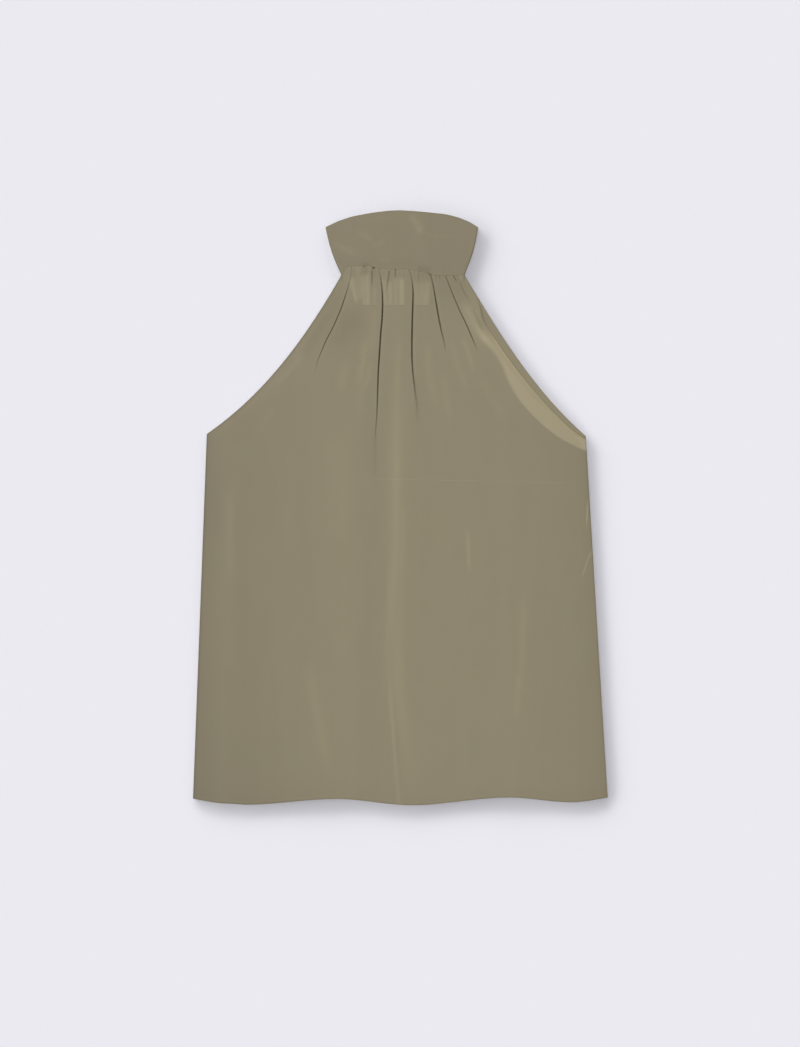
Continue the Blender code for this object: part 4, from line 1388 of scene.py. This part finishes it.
def cloth_material(name, colour, other_colour, front):
    """Satin-faced crepe, with slight changes of colour and sheen, and painted highlights and shade in its
    colour.
    """
    nodes = Nodes(name)
    # painted highlights and shade, from the pieces' attributes
    painted_light = nodes.attribute("painted_light")
    relief = nodes.times(weave_height(nodes), WEAVE_RELIEF)
    if front:
        split = nodes.add("ShaderNodeSeparateXYZ", {"Vector": nodes.coordinates()})
        details, press = front_details(nodes, split.outputs[0], split.outputs[1])
        painted_light = nodes.plus(painted_light, details)
        relief = nodes.plus(relief, nodes.times(press, PRESS_RELIEF))
    seen = nodes.plus(painted_light, 1.0, nodes.noise(STREAK_NOISE), nodes.noise(MOTTLE_NOISE))
    hue = nodes.smooth_step(*HUE_RANGE, nodes.noise(HUE_NOISE))
    mix = nodes.add("ShaderNodeMix", data_type="RGBA")
    for value, socket in ((hue, "Factor"), ((*colour, 1.0), "A"), ((*other_colour, 1.0), "B")):
        nodes.link(value, mix.inputs[socket])
    seen_colour = nodes.scaled(mix.outputs["Result"], nodes.math("POWER", seen, TONE_GAMMA))
    rough = nodes.noise(ROUGHNESS_NOISE, CLOTH_ROUGHNESS)
    bump = nodes.add("ShaderNodeBump", {"Strength": 0.18, "Distance": 0.0001, "Height": relief})
    nodes.shade({"Base Color": seen_colour, "Roughness": rough, "Normal": bump.outputs[0], **CLOTH_SHEEN})
    return nodes.material


def thread_material():
    """Twisted sewing thread."""
    nodes = Nodes("thread")
    inputs = {"Vector": nodes.coordinates(), "Scale": THREAD_TWIST}
    wave = nodes.add("ShaderNodeTexWave", inputs, wave_type="BANDS", bands_direction="DIAGONAL")
    level = nodes.math("MULTIPLY_ADD", wave.outputs["Fac"], *THREAD_UNEVEN)
    nodes.shade({"Base Color": nodes.scaled(THREAD, level), "Roughness": 0.45, "Specular IOR Level": 0.35})
    return nodes.material


def floor_piece():
    """Plain pale floor."""
    mesh = bpy.data.meshes.new("floor")
    corners = [(x * FLOOR_HALF, y * FLOOR_HALF, 0.0) for x, y in ((-1, -1), (1, -1), (1, 1), (-1, 1))]
    mesh.from_pydata(corners, [], [(0, 1, 2, 3)])
    nodes = Nodes("floor_paper")
    nodes.shade({"Base Color": (*FLOOR, 1.0), "Roughness": 0.9, "Specular IOR Level": 0.0})
    mesh.materials.append(nodes.material)
    piece = bpy.data.objects.new("floor", mesh)
    piece.location.z = -FLOOR_GAP
    bpy.context.scene.collection.objects.link(piece)
    return piece


def add_lamp(lamp, receivers):
    """Soft far light that gives its share to what faces up, on the receivers alone."""
    light = bpy.data.lights.new(lamp.name, "SUN")
    light.energy = lamp.share * np.pi / np.sin(np.radians(lamp.elevation))
    light.angle = np.radians(lamp.angle)
    holder = bpy.data.objects.new(lamp.name, light)
    holder.rotation_euler = (0.0, np.radians(90.0 - lamp.elevation), np.radians(lamp.azimuth))
    bpy.context.scene.collection.objects.link(holder)
    lit = bpy.data.collections.new(lamp.name + "_receivers")
    for piece in receivers:
        lit.objects.link(piece)
    holder.light_linking.receiver_collection = lit


def light_and_camera(floor, garment):
    """Even pale surroundings, soft lamps from above and from the upper left, and a camera straight above."""
    scene = bpy.context.scene
    world = bpy.data.worlds.new("studio")
    world.use_nodes = True
    background = world.node_tree.nodes["Background"]
    background.inputs["Color"].default_value = (1.0, 1.0, 1.0, 1.0)
    background.inputs["Strength"].default_value = SKY
    scene.world = world
    receivers = {"floor": [floor], "garment": garment}
    for lamp in LAMPS:
        add_lamp(lamp, receivers[lamp.lights])
    lens = bpy.data.cameras.new("camera")
    lens.sensor_fit = "VERTICAL"
    lens.sensor_height = SENSOR_HEIGHT
    lens.lens = CAMERA_LENS
    camera = bpy.data.objects.new("camera", lens)
    camera.location = (0.0, AIM_Y, PICTURE_HEIGHT * CAMERA_LENS / SENSOR_HEIGHT + GARMENT_HEIGHT)
    scene.collection.objects.link(camera)
    scene.camera = camera
    scene.view_settings.view_transform = "Standard"


front_cloth = cloth_material("cloth_front_satin", OLIVE, OLIVE_GREEN, True)
plain_cloth = cloth_material("cloth_back_satin", OLIVE, OLIVE_GREEN, False)
collar_cloth = cloth_material("cloth_collar_satin", OLIVE_COLLAR, OLIVE_COLLAR, False)
thread = thread_material()

front = front_piece(front_cloth)
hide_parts("front_panel")
back = back_piece(plain_cloth)
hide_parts("back_panel")
collar = collar_piece(collar_cloth)
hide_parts("collar")
buttons = []
for button_name, button_up in BUTTON_HEIGHTS.items():
    button = button_piece(button_name, button_up, collar_cloth)
    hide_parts(button_name)
    buttons.append(button)
front_line = hem_line(FRONT_SIDES, front_surface, FRONT_HEM_LINE_HALF, 0.0, FRONT_STITCH_LIFT)
back_line = hem_line(BACK_SIDES, back_underside, BACK_HEM_LINE_HALF, BACK_HEM_UP, BACK_STITCH_LIFT)
front_stitches = stitches_piece("front_hem_stitches", [front_line], 1.0, thread)
back_stitches = stitches_piece("back_hem_stitches", [back_line], -1.0, thread)
slit_stitches = stitches_piece("slit_stitches", slit_lines(), -1.0, thread)
buttonholes = [buttonhole_piece(button_name.replace("button", "buttonhole"), button_up, thread)
               for button_name, button_up in BUTTON_HEIGHTS.items()]

slots = {
    "cloth_front": [front, front_stitches],
    "cloth_back": [back, back_stitches, slit_stitches],
    "cloth_collar": [collar, *buttonholes],
    "cloth_button": buttons,
}
for slot, pieces in slots.items():
    for piece in pieces:
        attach(piece, "root")

light_and_camera(floor_piece(), [piece for pieces in slots.values() for piece in pieces])
